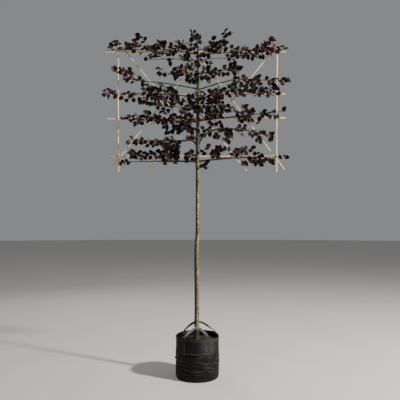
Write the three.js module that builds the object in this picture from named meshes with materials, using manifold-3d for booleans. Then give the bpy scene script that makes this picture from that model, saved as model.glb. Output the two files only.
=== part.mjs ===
// A pleached copper beech in a fabric grow bag: one clear stem, and a flat crown of side arms trained on
// a frame of bamboo canes. Millimetres, +Z up. The origin is the middle of the bag's underside, heights are
// above it, the crown lies in the XZ plane, and the canes are behind it, towards +Y.
import * as THREE from 'three';
import { mergeVertices } from 'three/addons/utils/BufferGeometryUtils.js';
import Module from 'manifold-3d';

const wasm = await Module();
wasm.setup();

// ---- Driving dimensions --------------------------------------------------------------------------

const GAP = 0.3; // between pieces that touch

// The bag's outer wall, as [radius, height]: a flat underside, a rounded edge and a slightly full waist.
const BAG_WALL = [[188, 0], [203, 9], [209, 30], [213, 120], [211, 260], [208, 400]];
const BAG_THICK = 5;
const BAG_SIDES = 28;
const COMPOST_HEIGHT = 360;
const COMPOST_FALL = 8; // from the foot of the tree out to the bag's wall
const COMPOST_CROWN = 70; // radius of the level middle

// Webbing: how far it is sewn down the wall and stands off it, and where above the rim its loop starts.
const STRAP = { width: 25, thick: 3, sewn: 150, off: 0.5, clear: 12, loopSteps: 12 };
// Each handle stands at two bearings, in degrees from its own side's middle, and leans in to the stem like
// a tent: the smaller its narrow, the straighter its sides and the tighter its top.
const HANDLES = [
  { name: 'handle_front', side: -1, left: 38, right: 31.5, lean: 42, top: 480, narrow: 0.06 },
  { name: 'handle_back', side: 1, left: 38, right: 56, lean: 48, top: 522, narrow: 0.12 },
];

// The trunk, as [height, radius, drift along X]: root flare, long even stem, quick taper in the crown.
const TRUNK_FOOT = COMPOST_HEIGHT + GAP;
const TRUNK = [
  [TRUNK_FOOT, 31, 0], [385, 26.5, 0], [440, 24.2, 0], [1100, 21.5, -2], [1850, 19.2, 1], [2240, 19, 3],
  [2528, 16.8, 4], [2850, 14, 5], [3080, 9.5, 6], [3215, 6.5, 6],
];
const TRUNK_SIDES = 12;

// The cane frame behind the trunk: four rails, two posts in front of them and two layers of crossing braces
// behind them.
const CANE_SIDES = 8;
const RAIL_RADIUS = 7;
const POST_RADIUS = 7;
const BRACE_RADIUS = 6;
// Rails, from the lowest, as [height at the left end, height at the right end, left end, right end].
const RAILS = [
  [2154, 2154, -860, 858],
  [2523, 2533, -889, 867],
  [2752, 2767, -900, 867],
  [3178, 3178, -904, 867],
];
// Posts, as [X at the foot, X at the head].
const POSTS = { left: [-777, -777], right: [775, 782], foot: 2000, head: 3225 };
// Braces, as [lower X, lower height, upper X, upper height]. Those that fall to the right lie on the rails,
// and those that rise to the right lie on these.
const FALLING = [[22, 2288, -778, 3277], [484, 2015, -14, 2628], [859, 2027, -78, 3265]];
const RISING = [[-860, 2034, 84, 3234], [-491, 2024, 2, 2641], [-4, 2288, 746, 3202]];

// The arms. Each leaves the trunk at a height and runs out along its side through [distance out, height],
// bare for a share of its length and then a stem inside its foliage. Its tufts are [from, to, low, high,
// leaves]: the stretch out from the trunk and the heights that each fills.
const LEFT = -1;
const RIGHT = 1;
const ARM_DEPTH = 14; // how far in front of the trunk's middle the arms run, clear of the posts
const ARM_SETTLE = 200; // distance out at which they get there
const ARMS = [
  { name: 'left_1', side: LEFT, height: 2100, radius: 9, bare: 0.2,
    path: [[130, 2101], [765, 2095]],
    tufts: [[178, 353, 2077, 2240, 16], [353, 691, 2127, 2227, 13], [678, 778, 2078, 2125, 3]] },
  { name: 'left_1_inner', side: LEFT, height: 2160, radius: 4, bare: 0,
    path: [[110, 2180]],
    tufts: [[20, 128, 2102, 2215, 6]] },
  { name: 'right_1', side: RIGHT, height: 2100, radius: 9, bare: 0.13,
    path: [[250, 2125], [905, 2150]],
    tufts: [[120, 446, 2130, 2265, 10], [446, 771, 2065, 2200, 16], [784, 905, 2115, 2165, 3]] },
  { name: 'right_1_inner', side: RIGHT, height: 2190, radius: 4, bare: 0,
    path: [[110, 2225]],
    tufts: [[34, 130, 2150, 2265, 5]] },
  { name: 'drop', side: RIGHT, height: 2072, radius: 3.5, bare: 0,
    path: [[45, 2062], [86, 2035]],
    tufts: [[46, 112, 2027, 2085, 2]] },
  { name: 'left_2', side: LEFT, height: 2262, radius: 10, bare: 0.21,
    path: [[50, 2306], [160, 2300], [680, 2310]],
    tufts: [[150, 403, 2190, 2327, 15], [403, 691, 2265, 2340, 9]] },
  { name: 'left_2_fork', side: LEFT, height: 2305, radius: 7, bare: 0.4,
    path: [[52, 2350], [90, 2440]],
    tufts: [[16, 153, 2385, 2470, 6]] },
  { name: 'right_2', side: RIGHT, height: 2262, radius: 10, bare: 0.14,
    path: [[60, 2350], [120, 2390], [250, 2420], [600, 2377], [746, 2318]],
    tufts: [[100, 346, 2285, 2477, 15], [359, 596, 2327, 2465, 11], [584, 746, 2285, 2377, 6]] },
  { name: 'left_3', side: LEFT, height: 2490, radius: 8.5, bare: 0.12,
    path: [[300, 2497], [730, 2512]],
    tufts: [[-15, 328, 2360, 2565, 22], [328, 453, 2480, 2545, 3], [453, 735, 2480, 2545, 10]] },
  { name: 'right_3', side: RIGHT, height: 2500, radius: 8.5, bare: 0.09,
    path: [[300, 2530], [870, 2590]],
    tufts: [[70, 246, 2490, 2615, 10], [409, 559, 2515, 2627, 6], [600, 690, 2530, 2605, 2],
      [709, 875, 2540, 2627, 6]] },
  { name: 'left_mid', side: LEFT, height: 2600, radius: 6, bare: 0,
    path: [[200, 2632], [370, 2640]],
    tufts: [[-45, 378, 2545, 2715, 20]] },
  { name: 'right_mid', side: RIGHT, height: 2610, radius: 6, bare: 0,
    path: [[150, 2645], [300, 2655]],
    tufts: [[35, 309, 2550, 2727, 13]] },
  { name: 'left_4', side: LEFT, height: 2702, radius: 8, bare: 0.19,
    path: [[130, 2741], [930, 2765]],
    tufts: [[178, 503, 2690, 2840, 18], [503, 766, 2650, 2796, 10], [791, 935, 2715, 2802, 5]] },
  { name: 'right_4', side: RIGHT, height: 2695, radius: 8, bare: 0.13,
    path: [[180, 2765], [310, 2790], [800, 2765]],
    tufts: [[105, 246, 2675, 2815, 6], [246, 496, 2740, 2865, 10], [534, 796, 2740, 2840, 9]] },
  { name: 'left_5', side: LEFT, height: 2812, radius: 6.5, bare: 0.5,
    path: [[350, 2866], [630, 2900], [835, 2990]],
    tufts: [[528, 728, 2840, 2915, 6], [628, 841, 2946, 3021, 6]] },
  { name: 'right_5', side: RIGHT, height: 2800, radius: 7, bare: 0.36,
    path: [[220, 2865], [400, 2900], [925, 2872]],
    tufts: [[345, 620, 2840, 2952, 10], [620, 925, 2840, 2940, 10]] },
  { name: 'left_6', side: LEFT, height: 2945, radius: 5.5, bare: 0,
    path: [[200, 2960], [400, 2950]],
    tufts: [[-30, 403, 2892, 3062, 21]] },
  { name: 'right_6', side: RIGHT, height: 2960, radius: 5.5, bare: 0,
    path: [[200, 2985], [430, 3000]],
    tufts: [[25, 234, 2877, 3040, 11], [246, 434, 2952, 3040, 6]] },
  { name: 'left_7_low', side: LEFT, height: 3085, radius: 4.5, bare: 0.35,
    path: [[250, 3100], [516, 3088]],
    tufts: [[203, 516, 3040, 3165, 10]] },
  { name: 'right_7_low', side: RIGHT, height: 3085, radius: 4, bare: 0,
    path: [[150, 3105], [380, 3100]],
    tufts: [[71, 150, 3070, 3150, 2], [300, 384, 3065, 3140, 2]] },
  { name: 'left_7', side: LEFT, height: 3150, radius: 5.5, bare: 0.07,
    path: [[300, 3190], [885, 3182]],
    tufts: [[66, 303, 3165, 3290, 12], [303, 528, 3155, 3260, 6], [453, 628, 3250, 3327, 3],
      [528, 703, 3155, 3285, 10], [703, 878, 3155, 3270, 6]] },
  { name: 'right_7', side: RIGHT, height: 3145, radius: 5.5, bare: 0.1,
    path: [[300, 3165], [870, 3195]],
    tufts: [[96, 246, 3150, 3265, 6], [384, 659, 3090, 3215, 9], [659, 796, 3152, 3277, 6],
      [796, 871, 3170, 3230, 2]] },
  { name: 'right_7_rising', side: RIGHT, height: 3190, radius: 4, bare: 0,
    path: [[150, 3235], [362, 3362]],
    tufts: [[150, 365, 3190, 3350, 9]] },
];
// The leader goes on from the trunk's tip.
const LEADER = {
  name: 'leader', side: LEFT, lean: -28, top: 3384, radius: 5.5,
  tufts: [[-15, 80, 3250, 3372, 7]],
};

const BOUGH_SIDES = 6;
const BOUGH_STEPS = 3;
const STEM_SIDES = 4;
const STEM_STEP = 190;
const STEM_TIP = 2; // radius where an arm ends
const STEM_USED = [0.2, 0.97]; // the part of a stretch of stem that twigs grow on
// A leaf whose place is nearer the stem than this grows on the stem itself, and the others on a twig.
// A twig leaves the stem this share of its climb before the place it grows to.
const TWIG = { sides: 3, root: 2.2, tip: 1.3, least: 55, lead: 0.8, from: 52, bareFoot: 12 };
// A leaf's root point sits a little past its twig's middle, and its widest place is nearer the root.
const LEAF = { length: 98, width: 66, thick: 3, sink: 0.7, belly: 0.06 };
// How leaves stray from their rule: blades turn and tilt from the crown's plane, and their tips droop.
const STRAYING = { turn: 0.55, tilt: 0.5, lift: 0.45, angle: 0.35, droop: 0.15, drooping: 0.2, middle: 15 };
// Places of a twig's leaves, back from its tip, and how far they turn from it, to either side in turn.
const LEAF_PLACES = [[3, 0.45], [9, 0.6], [34, 0.85], [50, 0.95], [76, 1], [96, 1]];
const CROWN_DEPTH = 66; // how far twigs aim in front of the arms and behind them
const STRAY = 14; // how far a leaf's tip may pass its tuft's limits
const TRIES = 12; // directions tried for a leaf before it is skipped
const AIMS = 5; // places tried for each leaf that a tuft wants
const EVEN_X = 0.618; // steps that spread the places evenly over a tuft
const EVEN_Z = 0.7549;
const FIRST_SEED = 11;
const CLEAR = 0.7; // kept between a twig or leaf and whatever else is there

const RIGHTWARD = new THREE.Vector3(1, 0, 0);
const BACKWARD = new THREE.Vector3(0, 1, 0);
const UPWARD = new THREE.Vector3(0, 0, 1);
const STEEP = 0.8; // a limb that runs more along Y than this takes its section's side from Z

// ---- Solids --------------------------------------------------------------------------------------

/** A bare, merged copy of a geometry with its collapsed triangles left out. */
function bare(geometry) {
  geometry.deleteAttribute('normal');
  geometry.deleteAttribute('uv');
  const merged = mergeVertices(geometry);
  const corners = merged.index.array;
  const kept = [];
  for (let i = 0; i < corners.length; i += 3) {
    const [a, b, c] = corners.slice(i, i + 3);
    if (a !== b && b !== c && a !== c) {
      kept.push(a, b, c);
    }
  }
  merged.setIndex(kept);
  return merged;
}

function solidOf(geometry) {
  return new wasm.Manifold(new wasm.Mesh({
    numProp: 3,
    vertProperties: new Float32Array(geometry.getAttribute('position').array),
    triVerts: new Uint32Array(geometry.index.array),
  }));
}

function geometryOf(solid) {
  const { vertProperties, triVerts } = solid.getMesh();
  const geometry = new THREE.BufferGeometry();
  geometry.setAttribute('position', new THREE.BufferAttribute(vertProperties, 3));
  geometry.setIndex(new THREE.BufferAttribute(triVerts, 1));
  geometry.computeVertexNormals();
  return geometry;
}

/** Bends a unit geometry, from z = 0 to z = 1, along frames {at, u, v}, one for each of its rings. */
function sweep(unit, frames) {
  const position = unit.getAttribute('position');
  const last = frames.length - 1;
  for (let i = 0; i < position.count; i += 1) {
    const { at, u, v } = frames[Math.round(position.getZ(i) * last)];
    const moved = at.clone().addScaledVector(u, position.getX(i)).addScaledVector(v, position.getY(i));
    position.setXYZ(i, moved.x, moved.y, moved.z);
  }
  return solidOf(unit);
}

/** The direction of a line of points at one of them. */
function tangent(points, i) {
  const before = points[Math.max(i - 1, 0)];
  const after = points[Math.min(i + 1, points.length - 1)];
  return after.clone().sub(before).normalize();
}

/** A tapering limb with flat ends: one ring for each point, with a flat of its section towards -Y. */
function limb(points, radii, sides, ways = points.map((_, i) => tangent(points, i))) {
  const corners = Array.from({ length: sides }, (_, i) => {
    const angle = ((2 * i - 1) * Math.PI) / sides - Math.PI / 2;
    return new THREE.Vector2(Math.cos(angle), Math.sin(angle));
  });
  const shape = new THREE.Shape(corners);
  const unit = new THREE.ExtrudeGeometry(shape, { depth: 1, steps: points.length - 1, bevelEnabled: false });
  const frames = points.map((at, i) => {
    const along = ways[i];
    const across = Math.abs(along.y) > STEEP ? UPWARD : BACKWARD;
    const reach = radii[i] / Math.cos(Math.PI / sides);
    const u = new THREE.Vector3().crossVectors(across, along).normalize();
    const v = new THREE.Vector3().crossVectors(along, u);
    return { at, u: u.multiplyScalar(reach), v: v.multiplyScalar(reach) };
  });
  return sweep(bare(unit), frames);
}

/** A solid turned about the Z axis from an outline of [radius, height] that starts and ends on the axis. */
function turned(outline) {
  const points = outline.map(([radius, height]) => new THREE.Vector2(radius, height));
  return solidOf(bare(new THREE.LatheGeometry(points, BAG_SIDES).rotateX(Math.PI / 2)));
}

/** Reads a table of rows by its rising first column, with the other columns in between. */
function readTable(table, key, column) {
  const passed = table.filter((row) => row[0] < key).length;
  const next = THREE.MathUtils.clamp(passed, 1, table.length - 1);
  const [low, high] = [table[next - 1], table[next]];
  const share = THREE.MathUtils.clamp((key - low[0]) / (high[0] - low[0]), 0, 1);
  return THREE.MathUtils.lerp(low[column], high[column], share);
}

const trunkRadius = (height) => readTable(TRUNK, height, 1);
const trunkDrift = (height) => readTable(TRUNK, height, 2);
const bagRadius = (height) => readTable(BAG_WALL.map(([radius, z]) => [z, radius]), height, 1);

// ---- Bag, compost and handles --------------------------------------------------------------------

/** The bag's inner face, from its floor's edge up, a clearance inside the cloth. */
function bagInside(clearance) {
  return BAG_WALL.slice(1).map(([radius, z], i) => [
    radius - BAG_THICK - clearance,
    i === 0 ? BAG_THICK + clearance : z,
  ]);
}

function bagSolid() {
  return turned([[0, 0], ...BAG_WALL, ...bagInside(0).reverse(), [0, BAG_THICK]]);
}

function compostSolid() {
  const edge = COMPOST_HEIGHT - COMPOST_FALL;
  const wall = bagInside(GAP).filter(([, z]) => z < edge);
  const brim = [bagRadius(edge) - BAG_THICK - GAP, edge];
  return turned([[0, BAG_THICK + GAP], ...wall, brim, [COMPOST_CROWN, COMPOST_HEIGHT], [0, COMPOST_HEIGHT]]);
}

/** One webbing handle: sewn down the wall at both ends, with a loop that leans in over the mouth. */
function handleSolid({ side, left, right, lean, top, narrow }) {
  const rim = BAG_WALL[BAG_WALL.length - 1][1];
  const legs = [-left, right].map((bearing) => {
    const angle = THREE.MathUtils.degToRad(bearing);
    const outward = new THREE.Vector3(Math.sin(angle), side * Math.cos(angle), 0);
    const at = (z) => outward.clone().multiplyScalar(bagRadius(z) + STRAP.off + STRAP.thick / 2).setZ(z);
    return { at, flat: new THREE.Vector3(-side * outward.y, side * outward.x, 0) };
  });
  const [start, end] = legs.map(({ at }) => at(rim + STRAP.clear));
  // A cubic curve's middle is an eighth of its ends and three eighths of its handles.
  const pull = (from, to) => (8 * to - 2 * from) / 6;
  const [crownY, crownZ] = [pull(start.y, side * lean), pull(start.z, top)];
  const over = (foot) => new THREE.Vector3(foot.x * narrow, crownY, crownZ);
  const loop = new THREE.CubicBezierCurve3(start, over(start), over(end), end).getPoints(STRAP.loopSteps);
  const heights = [rim - STRAP.sewn, rim - STRAP.sewn / 2, rim + 2];
  const points = [
    ...heights.map((z) => legs[0].at(z)), ...loop, ...heights.toReversed().map((z) => legs[1].at(z)),
  ];
  const leaned = new THREE.Vector3(0, side * lean - start.y, top - start.z).normalize();
  const crown = new THREE.Vector3().crossVectors(RIGHTWARD, leaned).multiplyScalar(side);
  const last = points.length - 1;
  const frames = points.map((at, i) => {
    const share = THREE.MathUtils.smoothstep(i, heights.length + 1, last / 2);
    const back = THREE.MathUtils.smoothstep(last - i, heights.length + 1, last / 2);
    const foot = i < last / 2 ? legs[0].flat.clone() : legs[1].flat.clone().negate();
    const flat = foot.lerp(crown, i < last / 2 ? share : back);
    const along = tangent(points, i);
    const u = flat.addScaledVector(along, -flat.dot(along)).normalize();
    const v = new THREE.Vector3().crossVectors(along, u);
    return { at, u: u.multiplyScalar(STRAP.width), v: v.multiplyScalar(STRAP.thick) };
  });
  return sweep(bare(new THREE.BoxGeometry(1, 1, 1, 1, 1, last).translate(0, 0, 0.5)), frames);
}

// ---- Trunk and cane frame ------------------------------------------------------------------------

/** The trunk, or with a clearance the space that its neighbours keep out of. */
function trunkSolid(clearance) {
  const points = TRUNK.map(([height, , drift]) => new THREE.Vector3(drift, 0, height));
  points[0].z -= clearance;
  points[points.length - 1].z += clearance;
  return limb(points, TRUNK.map(([, radius]) => radius + clearance), TRUNK_SIDES);
}

const railHeight = ([left, right]) => (left + right) / 2;
const railDepth = (height) => trunkRadius(height) + RAIL_RADIUS + GAP;
// The rails lean in with the trunk's taper; between two of them the other canes follow a straight line.
const FRAME_LINE = RAILS.map((rail) => [railHeight(rail), railDepth(railHeight(rail))]);

/** A cane, straight as seen from the front, that bears on each rail it passes, some way before or behind. */
function crossingCane([lowX, lowZ, highX, highZ], depth, radius) {
  const slope = (highX - lowX) / (highZ - lowZ);
  const heights = [lowZ, ...RAILS.map(railHeight).filter((z) => z > lowZ + 1 && z < highZ - 1), highZ];
  const ends = [FRAME_LINE[0], FRAME_LINE[FRAME_LINE.length - 1]];
  const lean = (ends[1][1] - ends[0][1]) / (ends[1][0] - ends[0][0]);
  const points = heights.map((z) => {
    const inside = THREE.MathUtils.clamp(z, ends[0][0], ends[1][0]);
    const y = readTable(FRAME_LINE, inside, 1) + lean * (z - inside) + depth;
    return new THREE.Vector3(lowX + slope * (z - lowZ), y, z);
  });
  return limb(points, points.map(() => radius), CANE_SIDES);
}

function railSolid([leftZ, rightZ, leftX, rightX], i) {
  const y = FRAME_LINE[i][1];
  const ends = [new THREE.Vector3(leftX, y, leftZ), new THREE.Vector3(rightX, y, rightZ)];
  return [`cane_rail_${i + 1}`, limb(ends, [RAIL_RADIUS, RAIL_RADIUS], CANE_SIDES)];
}

function postSolid(side) {
  const [foot, head] = POSTS[side];
  const line = [foot, POSTS.foot, head, POSTS.head];
  return [`cane_post_${side}`, crossingCane(line, -(RAIL_RADIUS + POST_RADIUS + GAP), POST_RADIUS)];
}

function caneSolids() {
  const first = RAIL_RADIUS + BRACE_RADIUS + GAP;
  const second = first + 2 * BRACE_RADIUS + GAP;
  return [
    ...RAILS.map(railSolid),
    ...['left', 'right'].map(postSolid),
    ...FALLING.map((line, i) => [`cane_falling_${i + 1}`, crossingCane(line, first, BRACE_RADIUS)]),
    ...RISING.map((line, i) => [`cane_rising_${i + 1}`, crossingCane(line, second, BRACE_RADIUS)]),
  ];
}

// ---- Growth --------------------------------------------------------------------------------------

/** Seeded numbers from 0 to 1, the same on every run. */
function seeded(seed) {
  let state = seed;
  return () => {
    state = (state + 0x6d2b79f5) | 0;
    let mixed = Math.imul(state ^ (state >>> 15), 1 | state);
    mixed = (mixed + Math.imul(mixed ^ (mixed >>> 7), 61 | mixed)) ^ mixed;
    return ((mixed ^ (mixed >>> 14)) >>> 0) / 4294967296;
  };
}

/** Solids in the way, each with its box, so that only near ones are intersected. */
class Obstacles {
  constructor() {
    this.list = [];
  }

  add(solid) {
    const { min, max } = solid.boundingBox();
    this.list.push({ solid, box: new THREE.Box3(new THREE.Vector3(...min), new THREE.Vector3(...max)) });
  }

  touch(solid, own) {
    const { min, max } = solid.boundingBox();
    const box = new THREE.Box3(new THREE.Vector3(...min), new THREE.Vector3(...max));
    return this.list.some((it) => it.solid !== own && it.box.intersectsBox(box)
      && !it.solid.intersect(solid).isEmpty());
  }
}

/** A leaf of eight faces, grown from a root point along one direction, with its blade square to another. */
function leafSolid(root, along, normal, margin) {
  const leaf = new THREE.OctahedronGeometry(1);
  leaf.scale(LEAF.length / 2 + margin, LEAF.width / 2 + margin, LEAF.thick / 2 + margin);
  const position = leaf.getAttribute('position');
  for (let i = 0; i < position.count; i += 1) {
    if (Math.abs(position.getY(i)) > 1) {
      position.setX(i, -LEAF.belly * LEAF.length);
    }
  }
  const across = new THREE.Vector3().crossVectors(normal, along);
  const basis = new THREE.Matrix4().makeBasis(along, across, normal);
  const centre = root.clone().addScaledVector(along, LEAF.length / 2 - LEAF.sink);
  return solidOf(bare(leaf.applyMatrix4(basis.setPosition(centre))));
}

/** The curve of an arm from the trunk's middle to its tip. */
function armCurve({ side, height, path }) {
  const points = path.map(([out, z]) => {
    const y = -ARM_DEPTH * Math.min(1, out / ARM_SETTLE);
    return new THREE.Vector3(side * out, y, z);
  });
  const root = new THREE.Vector3(trunkDrift(height), 0, height);
  return new THREE.CatmullRomCurve3([root, ...points], false, 'centripetal');
}

/** A stretch of an arm, from one share of its length to another, thinning from its root to its tip. */
function armStretch(curve, radius, from, to, steps, sides) {
  const shares = Array.from({ length: steps + 1 }, (_, i) => THREE.MathUtils.lerp(from, to, i / steps));
  const points = shares.map((share) => curve.getPointAt(share));
  const radii = shares.map((share) => THREE.MathUtils.lerp(radius, STEM_TIP, share));
  const ways = shares.map((share) => curve.getTangentAt(share));
  return { points, solid: limb(points, radii, sides, ways) };
}

/** One mass of foliage: a stem, twigs that branch from it towards their tuft, and leaves along the twigs. */
class Mass {
  constructor(stem, side, seed, limbs, grown) {
    this.random = seeded(seed);
    this.side = side;
    this.stem = stem;
    this.limbs = limbs; // what every part keeps clear of
    this.grown = grown; // the masses that are already there
    this.own = new Obstacles();
    this.own.add(stem.solid);
    this.parts = [stem.solid];
  }

  spread() {
    return this.random() * 2 - 1;
  }

  /** Whether a part would touch a limb or another mass, or cross one of its own that doesn't carry it. */
  blocked(part, wide, carrier) {
    return this.own.touch(part, carrier) || this.limbs.touch(wide) || this.grown.touch(wide);
  }

  grow(part) {
    this.own.add(part);
    this.parts.push(part);
  }

  /** The stem's middle at a distance out from the trunk. */
  stemAt(out) {
    const { points } = this.stem;
    const outs = points.map((point) => this.side * point.x);
    const next = THREE.MathUtils.clamp(outs.findIndex((it) => it >= out), 1, points.length - 1);
    const past = out > outs[points.length - 1] ? points.length - 1 : next;
    const share = (out - outs[past - 1]) / (outs[past] - outs[past - 1]);
    return points[past - 1].clone().lerp(points[past], THREE.MathUtils.clamp(share, ...STEM_USED));
  }

  /** The blade's normal: most leaves face out of the crown's plane, and all a little their own way. */
  facing(y) {
    const out = Math.abs(y) < STRAYING.middle ? Math.sign(this.spread()) : Math.sign(y);
    const lift = STRAYING.lift + STRAYING.tilt * this.spread();
    return new THREE.Vector3(STRAYING.turn * this.spread(), out, lift).normalize();
  }

  /** Grows a leaf on a twig, turned by an angle to one side of it, where one of a few tries finds room. */
  leaf(root, along, turn, carrier, room) {
    for (let attempt = 0; attempt < TRIES; attempt += 1) {
      const normal = this.facing(root.y);
      const across = new THREE.Vector3().crossVectors(normal, along).normalize();
      const angle = turn + STRAYING.angle * this.spread();
      const aim = along.clone().multiplyScalar(Math.cos(angle)).addScaledVector(across, Math.sin(angle));
      aim.z -= STRAYING.droop + STRAYING.drooping * this.spread();
      aim.normalize();
      const blade = normal.addScaledVector(aim, -normal.dot(aim)).normalize();
      const tip = root.clone().addScaledVector(aim, LEAF.length - LEAF.sink);
      const leaf = leafSolid(root, aim, blade, 0);
      if (room.containsPoint(tip) && !this.blocked(leaf, leafSolid(root, aim, blade, CLEAR), carrier)) {
        this.grow(leaf);
        return 1;
      }
    }
    return 0;
  }

  /** Grows a twig from the stem towards a point, with leaves to either side, or a leaf where that is near. */
  twig(aim, room, wanted) {
    const out = this.side * aim.x;
    const climb = Math.abs(aim.z - this.stemAt(out).z);
    if (aim.distanceTo(this.stemAt(out)) < TWIG.from) {
      const foot = this.stemAt(out - LEAF.length / 3);
      return this.leaf(foot, aim.clone().sub(foot).normalize(), 0, this.stem.solid, room);
    }
    const root = this.stemAt(out - TWIG.lead * climb - TWIG.least);
    const way = aim.clone().sub(root);
    const length = Math.max(TWIG.least, way.length() - LEAF.length / 2);
    const along = way.normalize();
    const tip = root.clone().addScaledVector(along, length);
    const radii = [TWIG.root, TWIG.tip];
    const twig = limb([root, tip], radii, TWIG.sides);
    const wide = limb([root, tip], radii.map((radius) => radius + CLEAR), TWIG.sides);
    if (this.blocked(twig, wide, this.stem.solid)) {
      return 0;
    }
    this.grow(twig);
    let leaves = 0;
    let side = Math.sign(this.spread());
    for (const [back, turn] of LEAF_PLACES.filter(([place]) => place < length - TWIG.bareFoot)) {
      if (leaves < wanted) {
        leaves += this.leaf(tip.clone().addScaledVector(along, -back), along, side * turn, twig, room);
        side = -side;
      }
    }
    if (leaves === 0) {
      this.parts.pop(); // a twig on which no leaf found room is left out
      this.own.list.pop();
    }
    return leaves;
  }

  /** Fills a tuft with leaves, its twigs' aims spread evenly over it. */
  tuft([from, to, low, high, leaves]) {
    const [left, right] = [this.side * from, this.side * to].sort((a, b) => a - b);
    const room = new THREE.Box3(
      new THREE.Vector3(left - STRAY, -CROWN_DEPTH - STRAY, low - STRAY),
      new THREE.Vector3(right + STRAY, CROWN_DEPTH + STRAY, high + STRAY),
    );
    const [startX, startZ] = [this.random(), this.random()];
    let grown = 0;
    for (let attempt = 1; attempt < AIMS * leaves && grown < leaves; attempt += 1) {
      const aim = new THREE.Vector3(
        THREE.MathUtils.lerp(left, right, (startX + attempt * EVEN_X) % 1),
        CROWN_DEPTH * this.spread(),
        THREE.MathUtils.lerp(low, high, (startZ + attempt * EVEN_Z) % 1),
      );
      grown += this.twig(aim, room, leaves - grown);
    }
  }

  /** Stem, twigs and leaves as one closed body, without loose scraps. */
  fused() {
    const whole = this.parts.reduce((sum, part) => sum.add(part));
    return whole.decompose().sort((a, b) => b.volume() - a.volume())[0];
  }
}

/** The boughs and masses of foliage, all clear of the trunk, of the canes and of each other. */
function crownSolids(limbs) {
  const keepOff = trunkSolid(GAP);
  const boughs = [];
  const stems = ARMS.map((arm) => {
    const curve = armCurve(arm);
    const start = arm.bare + (arm.bare ? GAP / curve.getLength() : 0);
    const steps = Math.max(2, Math.round((curve.getLength() * (1 - start)) / STEM_STEP));
    const stem = armStretch(curve, arm.radius, start, 1, steps, STEM_SIDES);
    if (arm.bare) {
      const whole = armStretch(curve, arm.radius, 0, arm.bare, BOUGH_STEPS, BOUGH_SIDES).solid;
      const bough = whole.subtract(keepOff);
      boughs.push([`bough_${arm.name}`, bough]);
      limbs.add(bough);
    } else {
      stem.solid = stem.solid.subtract(keepOff);
    }
    return stem;
  });
  const [topHeight, , topDrift] = TRUNK[TRUNK.length - 1];
  const leaderPoints = [0, 0.5, 1].map((share) => new THREE.Vector3(
    topDrift + LEADER.lean * share,
    0,
    THREE.MathUtils.lerp(topHeight + GAP, LEADER.top - LEAF.length / 2, share),
  ));
  const leaderRadii = [LEADER.radius, (LEADER.radius + STEM_TIP) / 2, STEM_TIP];
  stems.push({ points: leaderPoints, solid: limb(leaderPoints, leaderRadii, STEM_SIDES).subtract(keepOff) });
  const grown = new Obstacles();
  stems.forEach(({ solid }) => grown.add(solid));
  const masses = [...ARMS, LEADER].map((arm, i) => {
    grown.list = grown.list.filter((it) => it.solid !== stems[i].solid);
    const mass = new Mass(stems[i], arm.side, FIRST_SEED + i, limbs, grown);
    arm.tufts.forEach((tuft) => mass.tuft(tuft));
    mass.parts.forEach((part) => grown.add(part));
    return [`foliage_${arm.name}`, mass.fused()];
  });
  return { boughs, masses };
}

// ---- The tree ------------------------------------------------------------------------------------

function piece(name, solid, color, roughness) {
  const material = new THREE.MeshStandardMaterial({ color, roughness, metalness: 0 });
  const mesh = new THREE.Mesh(geometryOf(solid), material);
  mesh.name = name;
  return mesh;
}

const pot = new THREE.Group();
pot.add(piece('bag', bagSolid(), 0x23211f, 0.9));
pot.add(piece('compost', compostSolid(), 0x3a281c, 1));
for (const handle of HANDLES) {
  pot.add(piece(handle.name, handleSolid(handle), 0x77736f, 0.85));
}

const frame = new THREE.Group();
const canes = caneSolids();
canes.forEach(([name, solid]) => frame.add(piece(name, solid, 0xcba877, 0.6)));

const tree = new THREE.Group();
const trunk = trunkSolid(0);
tree.add(piece('trunk', trunk, 0x8c8260, 0.8));
const limbs = new Obstacles();
limbs.add(trunk);
canes.forEach(([, solid]) => limbs.add(solid));
const { boughs, masses } = crownSolids(limbs);
boughs.forEach(([name, solid]) => tree.add(piece(name, solid, 0x6f6448, 0.8)));
masses.forEach(([name, solid]) => tree.add(piece(name, solid, 0x3a1a1c, 0.6)));

const plant = new THREE.Group();
plant.add(pot, tree, frame);

export default plant;
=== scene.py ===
"""A pleached copper beech in a fabric grow bag, on a frame of bamboo canes, set up in a plain studio.

The file is laid out as a Blender add-on: settings, one operator for each piece or group of like pieces, and a
panel that lists them. main() calls the operators in order. Metres, +Z up, and the crown lies in the XZ plane.
"""

import contextlib
import functools
import itertools
import math

import bmesh
import bpy
import numpy as np
from mathutils import Matrix, Vector, noise
from mathutils.bvhtree import BVHTree


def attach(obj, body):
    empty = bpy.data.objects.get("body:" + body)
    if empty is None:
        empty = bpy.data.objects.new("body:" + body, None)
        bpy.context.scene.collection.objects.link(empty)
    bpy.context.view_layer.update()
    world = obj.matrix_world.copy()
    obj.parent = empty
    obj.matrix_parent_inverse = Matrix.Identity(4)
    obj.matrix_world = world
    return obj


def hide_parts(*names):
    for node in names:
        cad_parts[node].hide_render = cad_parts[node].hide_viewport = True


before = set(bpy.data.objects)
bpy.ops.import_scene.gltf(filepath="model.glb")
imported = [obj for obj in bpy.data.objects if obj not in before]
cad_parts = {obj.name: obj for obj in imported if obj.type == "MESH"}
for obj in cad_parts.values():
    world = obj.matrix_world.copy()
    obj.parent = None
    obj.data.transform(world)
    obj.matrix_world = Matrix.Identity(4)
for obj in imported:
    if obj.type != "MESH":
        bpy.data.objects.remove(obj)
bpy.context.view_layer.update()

bl_info = {
    "name": "Pleached Copper Beech",
    "version": (1, 0, 0),
    "blender": (4, 5, 0),
    "location": "View3D > Sidebar > Beech",
    "description": "Trunk, trained limbs, leaves, cane frame and grow bag of a pleached copper beech",
    "category": "Add Mesh",
}

MM = 0.001
DECIMETRE = 100
BODY = "root"

# ---- The tree's dimensions, in millimetres as they are measured up ---------------------------------

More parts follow.
